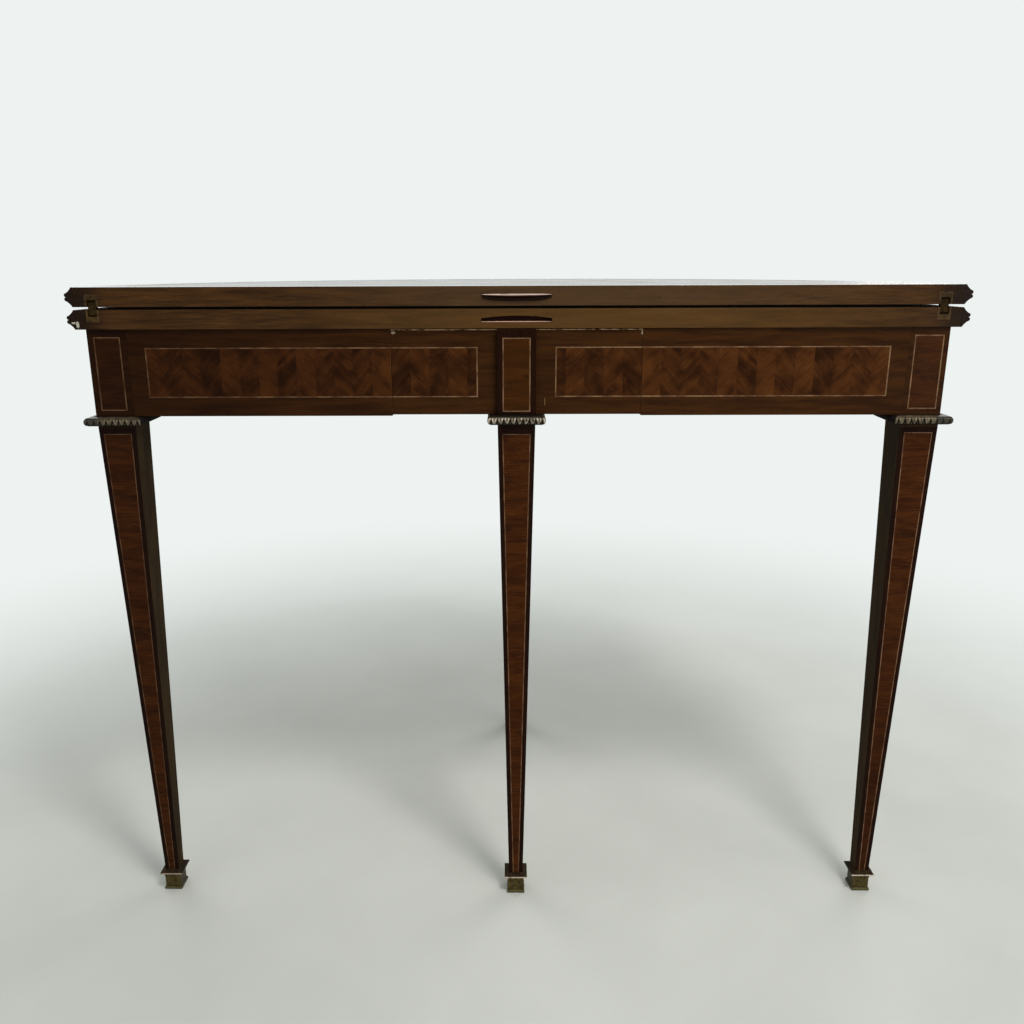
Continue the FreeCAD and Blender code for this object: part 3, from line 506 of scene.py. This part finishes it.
def shoe_finish():
    made, (x, y, z), (way_x, way_y, _) = new_finish("tarnished_brass_shoe")
    patches = x.noise(x / 5, y / 5, z / 5, detail=4.0)
    grime = x.noise(x / 1.1, y / 1.1, z / 1.1, detail=3.0)
    colour = patches.rise(0.3, 0.7).tint(tone(58, 48, 25), tone(98, 84, 44))
    colour = (grime.rise(0.5, 0.78) * 0.6).tint(colour, tone(38, 30, 15))
    # A pale band is painted round the foot: painted highlight.
    colour = ((1 - z.rise(foot_level - 0.5, foot_level + 0.5)) * 0.7).tint(colour, tone(92, 90, 62))
    colour = ((1 - abs(z - groove_level).rise(0.3, 1.2)) * 0.7).tint(colour, tone(34, 28, 16))
    rim = z.rise(lip_level + 0.6, lip_level + 1.0)
    colour = (rim * 0.9).tint(colour, patches.rise(0.4, 0.7).tint(tone(28, 17, 9), tone(50, 32, 20)))
    # A pale line is painted along the lip, brighter to the right: painted highlight.
    lip = (abs(z - lip_level) < 0.8) * patches.rise(0.2, 0.5) * (abs(way_y) > 0.3)
    colour = (lip * (x.rise(-460.0, -100.0) * 0.35 + 0.5)).tint(colour, tone(222, 202, 182))
    # Sides facing the table's middle are painted darker: painted shade.
    colour = ((way_x * x < -60.0) * 0.6).tint(colour, tone(24, 20, 11))
    return close_finish(made, colour, grime * 0.2 + 0.34 + rim * 0.4, grime, depth=0.05,
                        metal=0.45 - rim * 0.45, gleam=0.12)


def nail_finish():
    made, (x, y, z), _ = new_finish("dark_pin")
    rust = x.noise(x / 0.5, y / 0.5, z / 0.5)
    colour = rust.tint(tone(10, 5, 2), tone(30, 15, 6))
    return close_finish(made, colour, rust * 0.3 + 0.5, rust, depth=0.05)


shoe_brass = shoe_finish()
dark_pin = nail_finish()


def shoe(name, node, body, outward_y):
    low, high = span(node)
    middle = (low + high) / 2
    shape = bmesh.new()
    rings = []
    for reach, level in shoe_outline:
        rings.append([shape.verts.new(place(middle.x + across * reach, middle.y + along * reach, level))
                      for across, along in ((-1, -1), (1, -1), (1, 1), (-1, 1))])
    skin(shape, rings)
    item = new_piece(name, shape, shoe_brass, body)
    soften(item, 0.35, 25)
    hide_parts(node)

    pin = bmesh.new()
    bmesh.ops.create_uvsphere(pin, u_segments=16, v_segments=8, radius=pin_radius * MM)
    bmesh.ops.scale(pin, vec=(1, 0.5, 1), verts=pin.verts)
    face = middle.y + outward_y * (cup_face + pin_proud - pin_radius / 2)
    bmesh.ops.translate(pin, vec=place(middle.x, face, pin_level), verts=pin.verts)
    new_piece(name + "_pin", pin, dark_pin, body, smooth=True)


for name, body, outward_y in (("left", "frame", -1), ("right", "frame", -1), ("back", "frame", 1),
                              ("sliding", "slide", -1)):
    shoe(name + "_cast_shoe", name + "_shoe", body, outward_y)


# Rails and slide wings. Boards of the straight apron and two sawn curves behind it, faced with
# red-brown veneer. Each carries a panel of chevron parquetry, in upright strips whose grain
# slopes left and right in turn, and the backs stay bare.
panel_near, panel_far = 43.5, 409.0
panel_low, panel_high = 650.4, 704.2
strip_width = 21.0
rail_radius = 471.0
curve_panel_start, curve_panel_end = 80.0, 690.0
wing_top = span("left_slide_wing")[1].z
chip_level, left_chip, right_chip, scratch_spot = 720.6, -135.0, 137.4, (31.6, 644.5)
slide_half = span("right_slide_wing")[1].x + 0.3
rail_front = span("left_straight_rail")[0].y


def parquetry(run, rise, seed, width=strip_width):
    """Chevron strips: their colour and relief over a run and a rise."""
    strip = run.maths("FLOOR", run / width)
    turned = strip % 2
    slope = 1 - turned * 2
    along = (run * slope + rise) * math.sqrt(0.5)
    across = (run * slope - rise) * math.sqrt(0.5)
    own = run.node("ShaderNodeTexWhiteNoise", {"noise_dimensions": "1D"}, {"W": strip + seed})
    flames = run.noise(along / 36 + strip * 3.1, across / 9, own * 9 + seed, detail=2.0, twist=0.4)
    fibres = run.noise(along / 22, across / 1.3, strip * 1.7 + seed, detail=3.0, roughness=0.6)
    mottle = run.noise(run / 22 + seed, rise / 20, 0.0, detail=3.0)
    lightness = flames * 0.75 + mottle * 0.7 + own * 0.14 - turned * 0.1 - 0.26
    colour = lightness.rise(0.22, 0.76).tint(tone(40, 18, 4), tone(78, 43, 16))
    colour = (fibres.rise(0.5, 0.8) * mottle.rise(0.4, 0.65) * 0.6).tint(colour, tone(100, 62, 28))
    colour = ((1 - fibres.rise(0.2, 0.45)) * 0.45).tint(colour, tone(34, 14, 4))
    joint = abs(run % width - width / 2) > width / 2 - 0.12
    colour = (joint * 0.35).tint(colour, tone(28, 13, 5))
    return colour, fibres * 0.6 - joint


def rail_finish(name, curved, worn_top=False):
    made, (x, y, z), (_, way_y, way_z) = new_finish(name)
    if curved:
        reach = x.reach(y)
        run = x.maths("ARCTAN2", y, abs(x)) * rail_radius
        face = (reach > rail_radius - 0.6) * (abs(way_z) < 0.5)
        within = (run > curve_panel_start) * (run < curve_panel_end)
    else:
        run = x
        face = way_y < -0.5
        within = (abs(x) > panel_near) * (abs(x) < panel_far)
    panel = within * (z > panel_low) * (z < panel_high) * face
    wood, wood_relief = timber(run, z, z * 0, tone(42, 21, 6), tone(62, 35, 12), tone(84, 52, 22), 4.0,
                               figure=8.0, grain=0.5)
    from_joint = run - curve_panel_start if curved else abs(x) - slide_half
    chevrons, chevron_relief = parquetry(from_joint, z - panel_low, 2.0)
    bare, bare_relief = timber(run, z, reach if curved else y, tone(92, 63, 37), tone(130, 95, 59),
                               tone(158, 122, 82), 7.0)
    colour = panel.tint(wood, chevrons)
    if not curved:
        # The straight boards are painted darker to the left: painted shade.
        colour = (1 - x.rise(-420.0, 60.0)).tint(colour, tone(204, 196, 194), "MULTIPLY")
    if worn_top:
        scuffs = x.noise(x / 9, y / 3, z / 2, detail=4.0).rise(0.4, 0.54)
        colour = ((z > wing_top - 0.9) * scuffs).tint(colour, tone(186, 150, 116))
        ragged = x.noise(x / 1.5, z / 1.5, 2.0) * 2.4 - 1.2
        off_level = z - chip_level
        from_left = ((x - left_chip) * math.sqrt(0.22)).reach(off_level)
        from_right = (x - right_chip).reach(off_level * 0.5)
        chips = x.maths("MINIMUM", from_left, from_right) + ragged < 1.3
        colour = (chips * 0.85).tint(colour, tone(150, 134, 108))
        scratch = (abs(x - scratch_spot[0]) < 0.35) * (abs(z - scratch_spot[1]) < 4.0)
        colour = (scratch * 0.6).tint(colour, tone(150, 112, 78))
    # Undersides are painted dark: painted shade.
    underside = way_z < -0.5
    colour = face.tint(bare, colour)
    colour = underside.tint(colour, tone(30, 19, 12))
    relief = panel * chevron_relief + (1 - panel) * wood_relief
    gloss = x.noise(x / 30, y / 30, z / 16).rise(0.2, 0.8) * 0.12 + 0.28
    gloss = gloss * face + (1 - face) * 0.8
    return close_finish(made, colour, gloss, relief + bare_relief * 0.2, depth=0.06, gleam=0.05)


apron_finish = rail_finish("apron_veneer", False)
wing_finish = rail_finish("slide_wing_veneer", False, worn_top=True)
curve_finish = rail_finish("curved_rail_veneer", True)

for side, sign in (("left", -1), ("right", 1)):
    dress(side + "_straight_rail", apron_finish, 0.4)
    dress(side + "_slide_wing", wing_finish, 0.4)
    dress(side + "_curved_rail", curve_finish, 0.4)

    def on_rail(across, up, proud, way=sign):
        return place(way * across, rail_front - proud, up)

    def on_curve(run, up, proud, way=sign):
        angle = run / rail_radius
        reach = rail_radius + proud
        return place(way * reach * math.cos(angle), reach * math.sin(angle), up)

    rail_end = abs(span(side + "_straight_rail")[0 if sign > 0 else 1].x)
    wing_end = span("right_slide_wing")[1].x
    string_line(side + "_rail_string", "frame", [
        (rail_end, panel_low), (panel_far, panel_low), (panel_far, panel_high), (rail_end, panel_high)],
        on_rail, closed=False)
    string_line(side + "_wing_string", "slide", [
        (wing_end, panel_low), (panel_near, panel_low), (panel_near, panel_high), (wing_end, panel_high)],
        on_rail, closed=False)
    string_line(side + "_curve_string", "frame", box_path(
        curve_panel_start, curve_panel_end, panel_low, panel_high), on_curve, longest=6.0)


# Carcase. Runners, kickers, stops, blocks, the cross rail and the slide's shallow box are of a
# plain pale timber, sawn or planed and left bare.
def carcase_finish(name, axis):
    made, spots, _ = new_finish(name)
    order = [spots[axis], spots[(axis + 1) % 3], spots[(axis + 2) % 3]]
    colour, relief = timber(*order, tone(104, 74, 46), tone(146, 110, 72), tone(176, 140, 98), 12.0,
                            figure=7.0)
    dust = order[0].noise(order[0] / 50, order[1] / 50, order[2] / 50, detail=4.0)
    colour = (dust.rise(0.45, 0.8) * 0.4).tint(colour, tone(92, 74, 58))
    return close_finish(made, colour, dust * 0.2 + 0.62, relief, depth=0.15)


across_timber = carcase_finish("carcase_across", 0)
deep_timber = carcase_finish("carcase_deep", 1)
upright_timber = carcase_finish("carcase_upright", 2)
for node in ("cross_rail", "slide_back", "travel_stop", "slide_bottom", "slide_rest_stops"):
    dress(node, across_timber, 0.6)
for node in ("left_runner", "right_runner", "left_kicker", "right_kicker", "left_slide_side",
             "right_slide_side"):
    dress(node, deep_timber, 0.6)
dress("corner_blocks", upright_timber, 0.8)
dress("glue_blocks", across_timber, 0.8)


# Leaves. Two half-round boards, the fixed one below and the folding one above. Long-grained edges
# show on the straight side, and the folding leaf's outer face is veneered to show when shut.
leaf_radius = 490.0
lower_low, lower_high = span("lower_leaf")
upper_low, upper_high = span("upper_leaf")
band_width, top_strip = 48.0, 42.0
mortise_half, mortise_crown, mortise_lip = 38.6, 739.0, 3.3
tongue_half, tongue_bow, tongue_belly, tongue_back = 38.0, 3.6, 753.6, 759.0


def chipped_corner(x, y, z):
    """The patch at the lower leaf's left end where the dark polish is knocked off."""
    ragged = x.noise(x / 1.1, y / 4, z / 1.1, detail=3.0) * 1.6 - 0.8
    core = ((x + 478.8) / 1.9).reach((z - 730.2) / 3.6)
    arm = ((x + 483.0) / 3.4).reach((z - 732.2) / 1.3)
    return (x.maths("MINIMUM", core, arm + 0.25) + ragged < 0.95) * (y < 5.0)


def leaf_finish(name, outer_level, shut):
    made, (x, y, z), (_, way_y, way_z) = new_finish(name)
    reach = x.reach(y)
    turn = x.maths("ARCTAN2", y, x)
    edge, edge_relief = timber(x, z, y, tone(44, 25, 8), tone(72, 45, 20), tone(100, 70, 38), 21.0,
                               figure=6.0, grain=0.7)
    sheen = 1 - abs(x - 90).rise(60.0, 420.0)
    edge = (sheen * 0.45).tint(edge, tone(84, 64, 44) if shut else tone(98, 70, 34))
    edge = (abs(x).rise(438.0, 474.0) * 0.8).tint(edge, tone(20, 12, 7))
    if not shut:
        # Painted shade: the mortise's inside is painted dark, and its eased lip a little dark.
        in_mortise = (abs(x) < mortise_half) * (y > 0.15) * (z < mortise_crown)
        lip = in_mortise * (way_z > 0.3) * (y < mortise_lip)
        edge = ((in_mortise - lip) + lip * 0.35).tint(edge, tone(34, 9, 4))
        # The back part of the lip is painted pale: painted highlight.
        edge = (lip * (y > 1.9)).tint(edge, tone(192, 152, 130))
        edge = chipped_corner(x, y, z).tint(edge, tone(184, 178, 162))
    else:
        # A painted shadow under the tongue, on the folding leaf's edge.
        keel = x.maths("POWER", abs(x) / tongue_half, 4.0) * tongue_bow + tongue_belly
        under_tongue = (z - keel).rise(-0.4, 0.6) * (z < tongue_back) * (abs(x) < tongue_half)
        edge = (under_tongue * 0.9).tint(edge, tone(26, 8, 3))
    knots = x.noise(x / 16, z / 4, 3.0, detail=2.0).rise(0.68, 0.8)
    edge = (knots * 0.6).tint(edge, tone(26, 14, 8))

    field, field_relief = parquetry(x + top_strip / 2, y, 31.0, width=top_strip)
    banding, _ = timber(reach, turn * leaf_radius, z, tone(32, 14, 8), tone(66, 34, 20),
                        tone(98, 58, 34), 17.0, figure=7.0)
    in_field = (reach < leaf_radius - band_width) * (y > band_width)
    top = in_field.tint(banding, field)

    inner, _ = timber(x, y, z, tone(44, 22, 12), tone(82, 48, 27), tone(110, 72, 44), 27.0, figure=16.0)
    under, _ = timber(x, y, z, tone(42, 28, 16), tone(66, 46, 28), tone(92, 68, 44), 33.0, figure=20.0)
    outer = abs(z - outer_level) < 0.2
    colour = outer.tint(inner, top if shut else under)
    front = way_y < -0.5
    if not shut:
        front = front.maths("MAXIMUM", front, in_mortise)
    colour = front.tint(colour, edge)
    relief = outer * field_relief + edge_relief * 0.5
    gloss = x.noise(x / 60, y / 40, z / 12, detail=4.0).rise(0.25, 0.75) * 0.14 + 0.2
    inside = (1 - outer) * (1 - front)
    gloss = gloss + inside * 0.35 + (0.0 if shut else in_mortise * 0.5)
    streaks = x.noise(x / 90, y / 14, 5.0, detail=4.0).rise(0.3, 0.7)
    polish = outer * (streaks * 0.5 + 0.45 + (y < band_width) * 0.4) if shut else outer * 0.0
    return close_finish(made, colour, gloss, relief, depth=0.06, Coat_Weight=polish, Coat_Roughness=0.12)


dress("lower_leaf", leaf_finish("lower_leaf_timber", lower_low.z, False), 0.3)
dress("upper_leaf", leaf_finish("upper_leaf_timber", upper_high.z, True), 0.3)


def on_top(across, behind, proud):
    return place(across, behind, upper_high.z + proud)


def arc_path(radius, front, steps):
    """A half-round path cut straight at the front."""
    start = math.asin(front / radius)
    end = math.pi - start
    return [(radius * math.cos(start + (end - start) * step / steps),
             radius * math.sin(start + (end - start) * step / steps)) for step in range(steps + 1)]


string_line("top_string", "folding_leaf", arc_path(leaf_radius - band_width, band_width, 96), on_top)


# Lipping. A dark hardwood moulding bent round each leaf: two small beads between two slightly
# hollow chamfers. Its ends show black beside the hinges.
lipping_steps = 144
lipping_back, lipping_corner, bead = 480.5, 482.0, 2.2
chamfer_points, bead_points, chamfer_hollow = 5, 7, 0.5


def lipping_outline():
    """Section of the moulding, from its inner face round its profile and back."""
    thick = lower_high.z - lower_low.z
    middle = thick / 2
    outline = [(lipping_back, 0.0)]
    root = leaf_radius - bead
    for step in range(chamfer_points):
        share = step / (chamfer_points - 1)
        sag = chamfer_hollow * math.sin(math.pi * share)
        outline.append((lipping_corner + (root - lipping_corner) * share - sag,
                        (middle - 2 * bead) * share + sag * 0.5))
    for centre in (middle - bead, middle + bead):
        for step in range(1, bead_points + 1):
            angle = math.pi * (step / (bead_points + 1) - 0.5)
            outline.append((root + bead * math.cos(angle), centre + bead * math.sin(angle)))
        outline.append((root, centre + bead))
    for step in range(1, chamfer_points):
        share = 1 - step / (chamfer_points - 1)
        sag = chamfer_hollow * math.sin(math.pi * share)
        outline.append((lipping_corner + (root - lipping_corner) * share - sag,
                        thick - (middle - 2 * bead) * share - sag * 0.5))
    return outline + [(lipping_back, thick)]


def lipping_finish(name, chipped):
    made, (x, y, z), _ = new_finish(name)
    turn = x.maths("ARCTAN2", y, x) * leaf_radius
    reach = x.reach(y)
    colour, relief = timber(turn, reach, z, tone(16, 9, 7), tone(34, 20, 14), tone(54, 34, 24), 41.0,
                            figure=3.0)
    wear = x.noise(x / 7, y / 7, z / 3, detail=4.0)
    colour = (wear.rise(0.58, 0.78) * (reach > leaf_radius - 1.2) * 0.6).tint(colour, tone(78, 52, 34))
    if chipped:
        colour = chipped_corner(x, y, z).tint(colour, tone(184, 178, 162))
    return close_finish(made, colour, wear * 0.16 + 0.26, relief, depth=0.08)


def lipping(name, node, body, low, chipped):
    shape = bmesh.new()
    outline = lipping_outline()
    rings = []
    for step in range(lipping_steps + 1):
        angle = math.pi * step / lipping_steps
        rings.append([shape.verts.new(place(reach * math.cos(angle), reach * math.sin(angle), low + level))
                      for reach, level in outline])
    skin(shape, rings)
    finish = lipping_finish(name + "_polish", chipped)
    item = new_piece(name, shape, finish, body, smooth=True)
    item.data.set_sharp_from_angle(angle=math.radians(32))
    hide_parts(node)


lipping("lower_leaf_moulding", "lower_leaf_lipping", "frame", lower_low.z, True)
lipping("upper_leaf_moulding", "upper_leaf_lipping", "folding_leaf", upper_low.z, False)


# Playing cloths. Green wool cloth laid in a shallow bed on each inner face, cut to the half round
# with a soft, slightly raised edge.
cloth_radius, cloth_front, cloth_middle = 443.7, 12.3, 0.42
cloth_steps, cloth_rings, cloth_shoulder = 96, 8, 0.997


def cloth_finish():
    made, (x, y, z), _ = new_finish("green_baize")
    nap = x.noise(x / 0.8, y / 0.8, z / 0.8, detail=4.0, roughness=0.8)
    wear = x.noise(x / 110, y / 110, z, detail=3.0)
    fluff = x.noise(x / 4, y / 4, z, detail=3.0)
    colour = wear.rise(0.1, 0.9).tint(tone(50, 78, 44), tone(64, 92, 55))
    colour = (nap.rise(0.4, 0.75) * 0.5).tint(colour, tone(38, 60, 34))
    colour = (fluff.rise(0.6, 0.8) * 0.25).tint(colour, tone(98, 118, 80))
    # The front edge is painted dark: painted shade in the gap between the leaves.
    colour = (y < cloth_front + 1.0).tint(colour, tone(24, 27, 17))
    return close_finish(made, colour, nap * 0.1 + 0.88, nap, depth=0.35, gleam=0.15, Sheen_Weight=0.12,
                        Sheen_Roughness=0.5)


baize = cloth_finish()


def cloth(name, node, body):
    low, high = span(node)
    shape = bmesh.new()
    edge = arc_path(cloth_radius, cloth_front, cloth_steps)
    middle = Vector((0.0, cloth_radius * cloth_middle))
    faces_up = low.z < lower_high.z
    rings = []
    section = [(1.0, 0.0), (1.0, 0.6), (cloth_shoulder, 1.0)]
    section += [(cloth_shoulder * (1 - step / cloth_rings), 1.0) for step in range(1, cloth_rings)]
    for share, rise in section:
        lift = (high.z - low.z) * rise
        height = low.z + lift if faces_up else high.z - lift
        rings.append([shape.verts.new(place(*(middle.lerp(Vector(spot), share)), height)) for spot in edge])
    skin(shape, rings)
    item = new_piece(name, shape, baize, body, smooth=True)
    item.data.set_sharp_from_angle(angle=math.radians(50))
    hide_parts(node)


cloth("lower_baize", "lower_playing_cloth", "frame")
cloth("upper_baize", "upper_playing_cloth", "folding_leaf")


# Tongue and hinges. A polished hardwood tongue with a rounded nose keys the leaves in line when
# they lie open. Two brass centre-link hinges are let in near the ends of the straight edge, each
# with four countersunk screws.
tongue_edge, tongue_rise, tongue_reach, tongue_root = 2.65, 2.65, 4.5, 11.9
tongue_steps, nose_steps = 60, 12
screw_setbacks, screw_radius, screw_segments = (17.0, 33.0), 3.2, 32
hinge_middle = (span("right_hinge_link")[0].x + span("right_hinge_link")[1].x) / 2
plate_foot, plate_head, plate_inside, hinge_knuckle = 733.5, 761.5, 6.4, 750.0


def tongue_finish():
    made, (x, y, z), (_, _, way_z) = new_finish("polished_tongue")
    colour, relief = timber(x, y, z, tone(30, 9, 5), tone(58, 26, 15), tone(92, 54, 34), 51.0, figure=4.0)
    # Faces turned down are painted darker: painted shade.
    colour = (1 - way_z.rise(-0.5, 0.2)).tint(colour, tone(26, 8, 4))
    # Faces turned up are painted pale: painted highlight.
    painted_highlight = way_z.rise(0.2, 0.75) * (1 - way_z.rise(0.93, 1.0)) * x.noise(x / 12, y / 2, z).rise(0.2, 0.5)
    colour = (painted_highlight * 0.8).tint(colour, tone(214, 188, 174))
    return close_finish(made, colour, 0.3 + painted_highlight * 0.1, relief, depth=0.03, gleam=0.04,
                        Coat_Weight=way_z.rise(-0.1, 0.5) * 0.3, Coat_Roughness=0.15)


def tongue():
    key_top = span("alignment_tongue")[1].z
    shape = bmesh.new()
    rings = []
    for step in range(tongue_steps + 1):
        across = -math.cos(math.pi * step / tongue_steps) * tongue_half
        thick = tongue_edge + tongue_rise * (1 - (across / tongue_half) ** 2)
        swell = max(1 - (abs(across) / tongue_half) ** 8, 0.02) ** 0.5
        middle = key_top - thick / 2
        outline = [(tongue_root, middle + thick / 2 * swell)]
        for turn in range(nose_steps + 1):
            angle = math.pi * (0.5 - turn / nose_steps)
            outline.append((-tongue_reach * swell * math.cos(angle),
                            middle + thick / 2 * swell * math.sin(angle)))
        outline.append((tongue_root, middle - thick / 2 * swell))
        rings.append([shape.verts.new(place(across, behind, level)) for behind, level in outline])
    skin(shape, rings)
    item = new_piece("rounded_tongue", shape, tongue_finish(), "folding_leaf", smooth=True)
    item.data.set_sharp_from_angle(angle=math.radians(40))
    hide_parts("alignment_tongue")


tongue()


def hinge_finish(name, dull, bright, gleam):
    made, (x, y, z), _ = new_finish(name)
    patches = x.noise(x / 4, y / 4, z / 4, detail=4.0)
    grime = x.noise(x / 0.9, y / 0.9, z / 0.9, detail=3.0)
    colour = patches.rise(0.3, 0.7).tint(tone(*dull), tone(*bright))
    colour = (grime.rise(0.48, 0.74) * 0.7).tint(colour, tone(36, 24, 11))
    colour = (z > hinge_knuckle).tint(colour, tone(216, 216, 206), "MULTIPLY")
    colour = x.rise(-300.0, 300.0).tint(colour, tone(226, 224, 222), "MULTIPLY")
    # Pale lines are painted round the plates' edges: painted highlight.
    ends = x.maths("MAXIMUM", z < plate_foot, z > plate_head)
    rim = x.maths("MAXIMUM", abs(abs(x) - hinge_middle) > plate_inside, ends)
    colour = (rim * patches.rise(0.35, 0.6) * 0.4).tint(colour, tone(126, 104, 72))
    return close_finish(made, colour, grime * 0.25 + 0.35, grime, depth=0.05, metal=0.4, gleam=gleam)


hinge_brass = hinge_finish("dull_hinge_brass", (62, 43, 18), (86, 64, 32), 0.2)
link_brass = hinge_finish("dark_link_brass", (44, 30, 9), (62, 46, 20), 0.08)
for side in ("left", "right"):
    dress(side + "_lower_hinge_plate", hinge_brass, 0.25)
    dress(side + "_upper_hinge_plate", hinge_brass, 0.25)
    dress(side + "_hinge_link", link_brass, 0.25)
for node in ("lower_hinge_pins", "upper_hinge_pins"):
    dress(node, hinge_brass, 0.15)


def hinge_screw(name, x, y, level, facing, body):
    """A countersunk head with a slightly rounded edge, nearly flush with the strap."""
    shape = bmesh.new()
    rings = []
    for reach, rise in ((screw_radius, -0.3), (screw_radius, 0.02), (screw_radius - 0.25, 0.1)):
        rings.append([shape.verts.new((reach * math.cos(math.tau * turn / screw_segments),
                                       reach * math.sin(math.tau * turn / screw_segments), rise))
                      for turn in range(screw_segments)])
    skin(shape, rings)
    for spot in shape.verts:
        spot.co = place(x + spot.co.x, y + spot.co.y, level + facing * spot.co.z)
    if facing < 0:
        bmesh.ops.reverse_faces(shape, faces=shape.faces)
    new_piece(name, shape, hinge_brass, body)


for side, sign in (("left", -1), ("right", 1)):
    for leaf, body, facing in (("lower", "frame", 1), ("upper", "folding_leaf", -1)):
        low, high = span("%s_%s_hinge_plate" % (side, leaf))
        level = high.z if facing > 0 else low.z
        for number, setback in enumerate(screw_setbacks, start=1):
            hinge_screw("%s_%s_hinge_screw_%d" % (side, leaf, number), (low.x + high.x) / 2, setback,
                        level, facing, body)


# Floor and light. A plain pale floor fades into a pale background. A small lamp above the front
# throws the table's shadow, and large soft ones fill in from both sides and from behind.
pale = tone(238, 243, 241)
fade_start, fade_end = 600.0, 1900.0


def floor_finish():
    made, (x, y, _), _ = new_finish("pale_floor")
    patches = x.noise(x / 300, y / 300, 0.0, detail=5.0)
    colour = patches.rise(0.3, 0.7).tint(tone(191, 193, 188), tone(198, 200, 195))
    far = x.reach(y).rise(fade_start, fade_end)
    near = x.node("ShaderNodeBsdfDiffuse", {}, {"Color": colour})
    glow = x.node("ShaderNodeEmission", {}, {"Color": pale, "Strength": 1.0})
    seen = x.node("ShaderNodeLightPath", {}, {}, "Is Camera Ray")
    mirrored = x.node("ShaderNodeLightPath", {}, {}, "Is Glossy Ray")
    veiled = far * seen.maths("MAXIMUM", seen, mirrored)
    surface = x.node("ShaderNodeMixShader", {}, {0: veiled, 1: near, 2: glow})
    surface.node("ShaderNodeOutputMaterial", {}, {"Surface": surface})
    return made


floor_shape = bmesh.new()
bmesh.ops.create_grid(floor_shape, x_segments=8, y_segments=8, size=9.0)
floor_mesh = bpy.data.meshes.new("studio_floor")
floor_shape.to_mesh(floor_mesh)
floor_shape.free()
floor_mesh.materials.append(floor_finish())
floor = bpy.data.objects.new("studio_floor", floor_mesh)
bpy.context.scene.collection.objects.link(floor)

world = bpy.data.worlds.new("studio")
bpy.context.scene.world = world
world.use_nodes = True
world.node_tree.nodes.clear()
sky = Shade(world.node_tree)
heading = sky.node("ShaderNodeTexCoord", {}, {}, "Generated")
behind = sky.node("ShaderNodeSeparateXYZ", {}, {0: heading}, "Y").rise(-0.1, 0.5)
seen = sky.node("ShaderNodeLightPath", {}, {}, "Is Camera Ray")
mirrored = sky.node("ShaderNodeLightPath", {}, {}, "Is Glossy Ray")
reflected = mirrored * (behind * 0.75 + 0.2)
level = seen + (1 - seen) * ((1 - mirrored) * 0.58 + reflected)
backdrop = sky.node("ShaderNodeBackground", {}, {"Color": pale, "Strength": level})
backdrop.node("ShaderNodeOutputWorld", {}, {"Surface": backdrop})


def lamp(name, spot, aim, size, power, colour=(1.0, 0.98, 0.95)):
    light = bpy.data.lights.new(name, "AREA")
    light.shape = "RECTANGLE"
    light.size, light.size_y = size
    light.energy = power
    light.color = colour
    item = bpy.data.objects.new(name, light)
    item.location = spot
    item.rotation_euler = (Vector(aim) - Vector(spot)).to_track_quat("-Z", "Y").to_euler()
    bpy.context.scene.collection.objects.link(item)


lamp("ceiling_lamp", (0.7, -1.3, 2.5), (0.05, 0.0, 0.5), (0.5, 0.5), 31.0)
lamp("right_fill", (2.0, -1.8, 1.3), (0.2, 0.0, 0.55), (1.4, 1.4), 16.0)
lamp("left_fill", (-2.2, -1.8, 1.4), (-0.2, 0.0, 0.5), (1.6, 1.6), 3.0)
lamp("back_right_fill", (1.9, 2.1, 1.9), (0.0, 0.1, 0.5), (1.6, 1.6), 26.0)
lamp("back_left_fill", (-2.1, 1.9, 1.9), (0.0, 0.1, 0.5), (1.6, 1.6), 22.0)

# Camera. It stands in front of the middle of the straight side, a little above the leaves, and
# looks slightly down. Its place, turn and lens were fitted to the table's corners.
focal_pixels, picture_pixels, sensor_width = 906.2, 1024.0, 36.0
shift_pixels, camera_spot = (12.6, 1.0), (-0.0101, -1.2416, 0.7920)
camera_turn, camera_dip, camera_roll = 0.534, 15.331, -0.22
camera_data = bpy.data.cameras.new("camera")
camera_data.sensor_width = sensor_width
camera_data.lens = focal_pixels / picture_pixels * sensor_width
camera_data.shift_x = shift_pixels[0] / picture_pixels
camera_data.shift_y = shift_pixels[1] / picture_pixels
camera = bpy.data.objects.new("camera", camera_data)
camera.matrix_world = (
    Matrix.Translation(camera_spot)
    @ Matrix.Rotation(math.radians(camera_turn), 4, "Z")
    @ Matrix.Rotation(math.radians(90 - camera_dip), 4, "X")
    @ Matrix.Rotation(math.radians(camera_roll), 4, "Z"))
bpy.context.scene.collection.objects.link(camera)
bpy.context.scene.camera = camera
bpy.context.scene.view_settings.view_transform = "Standard"
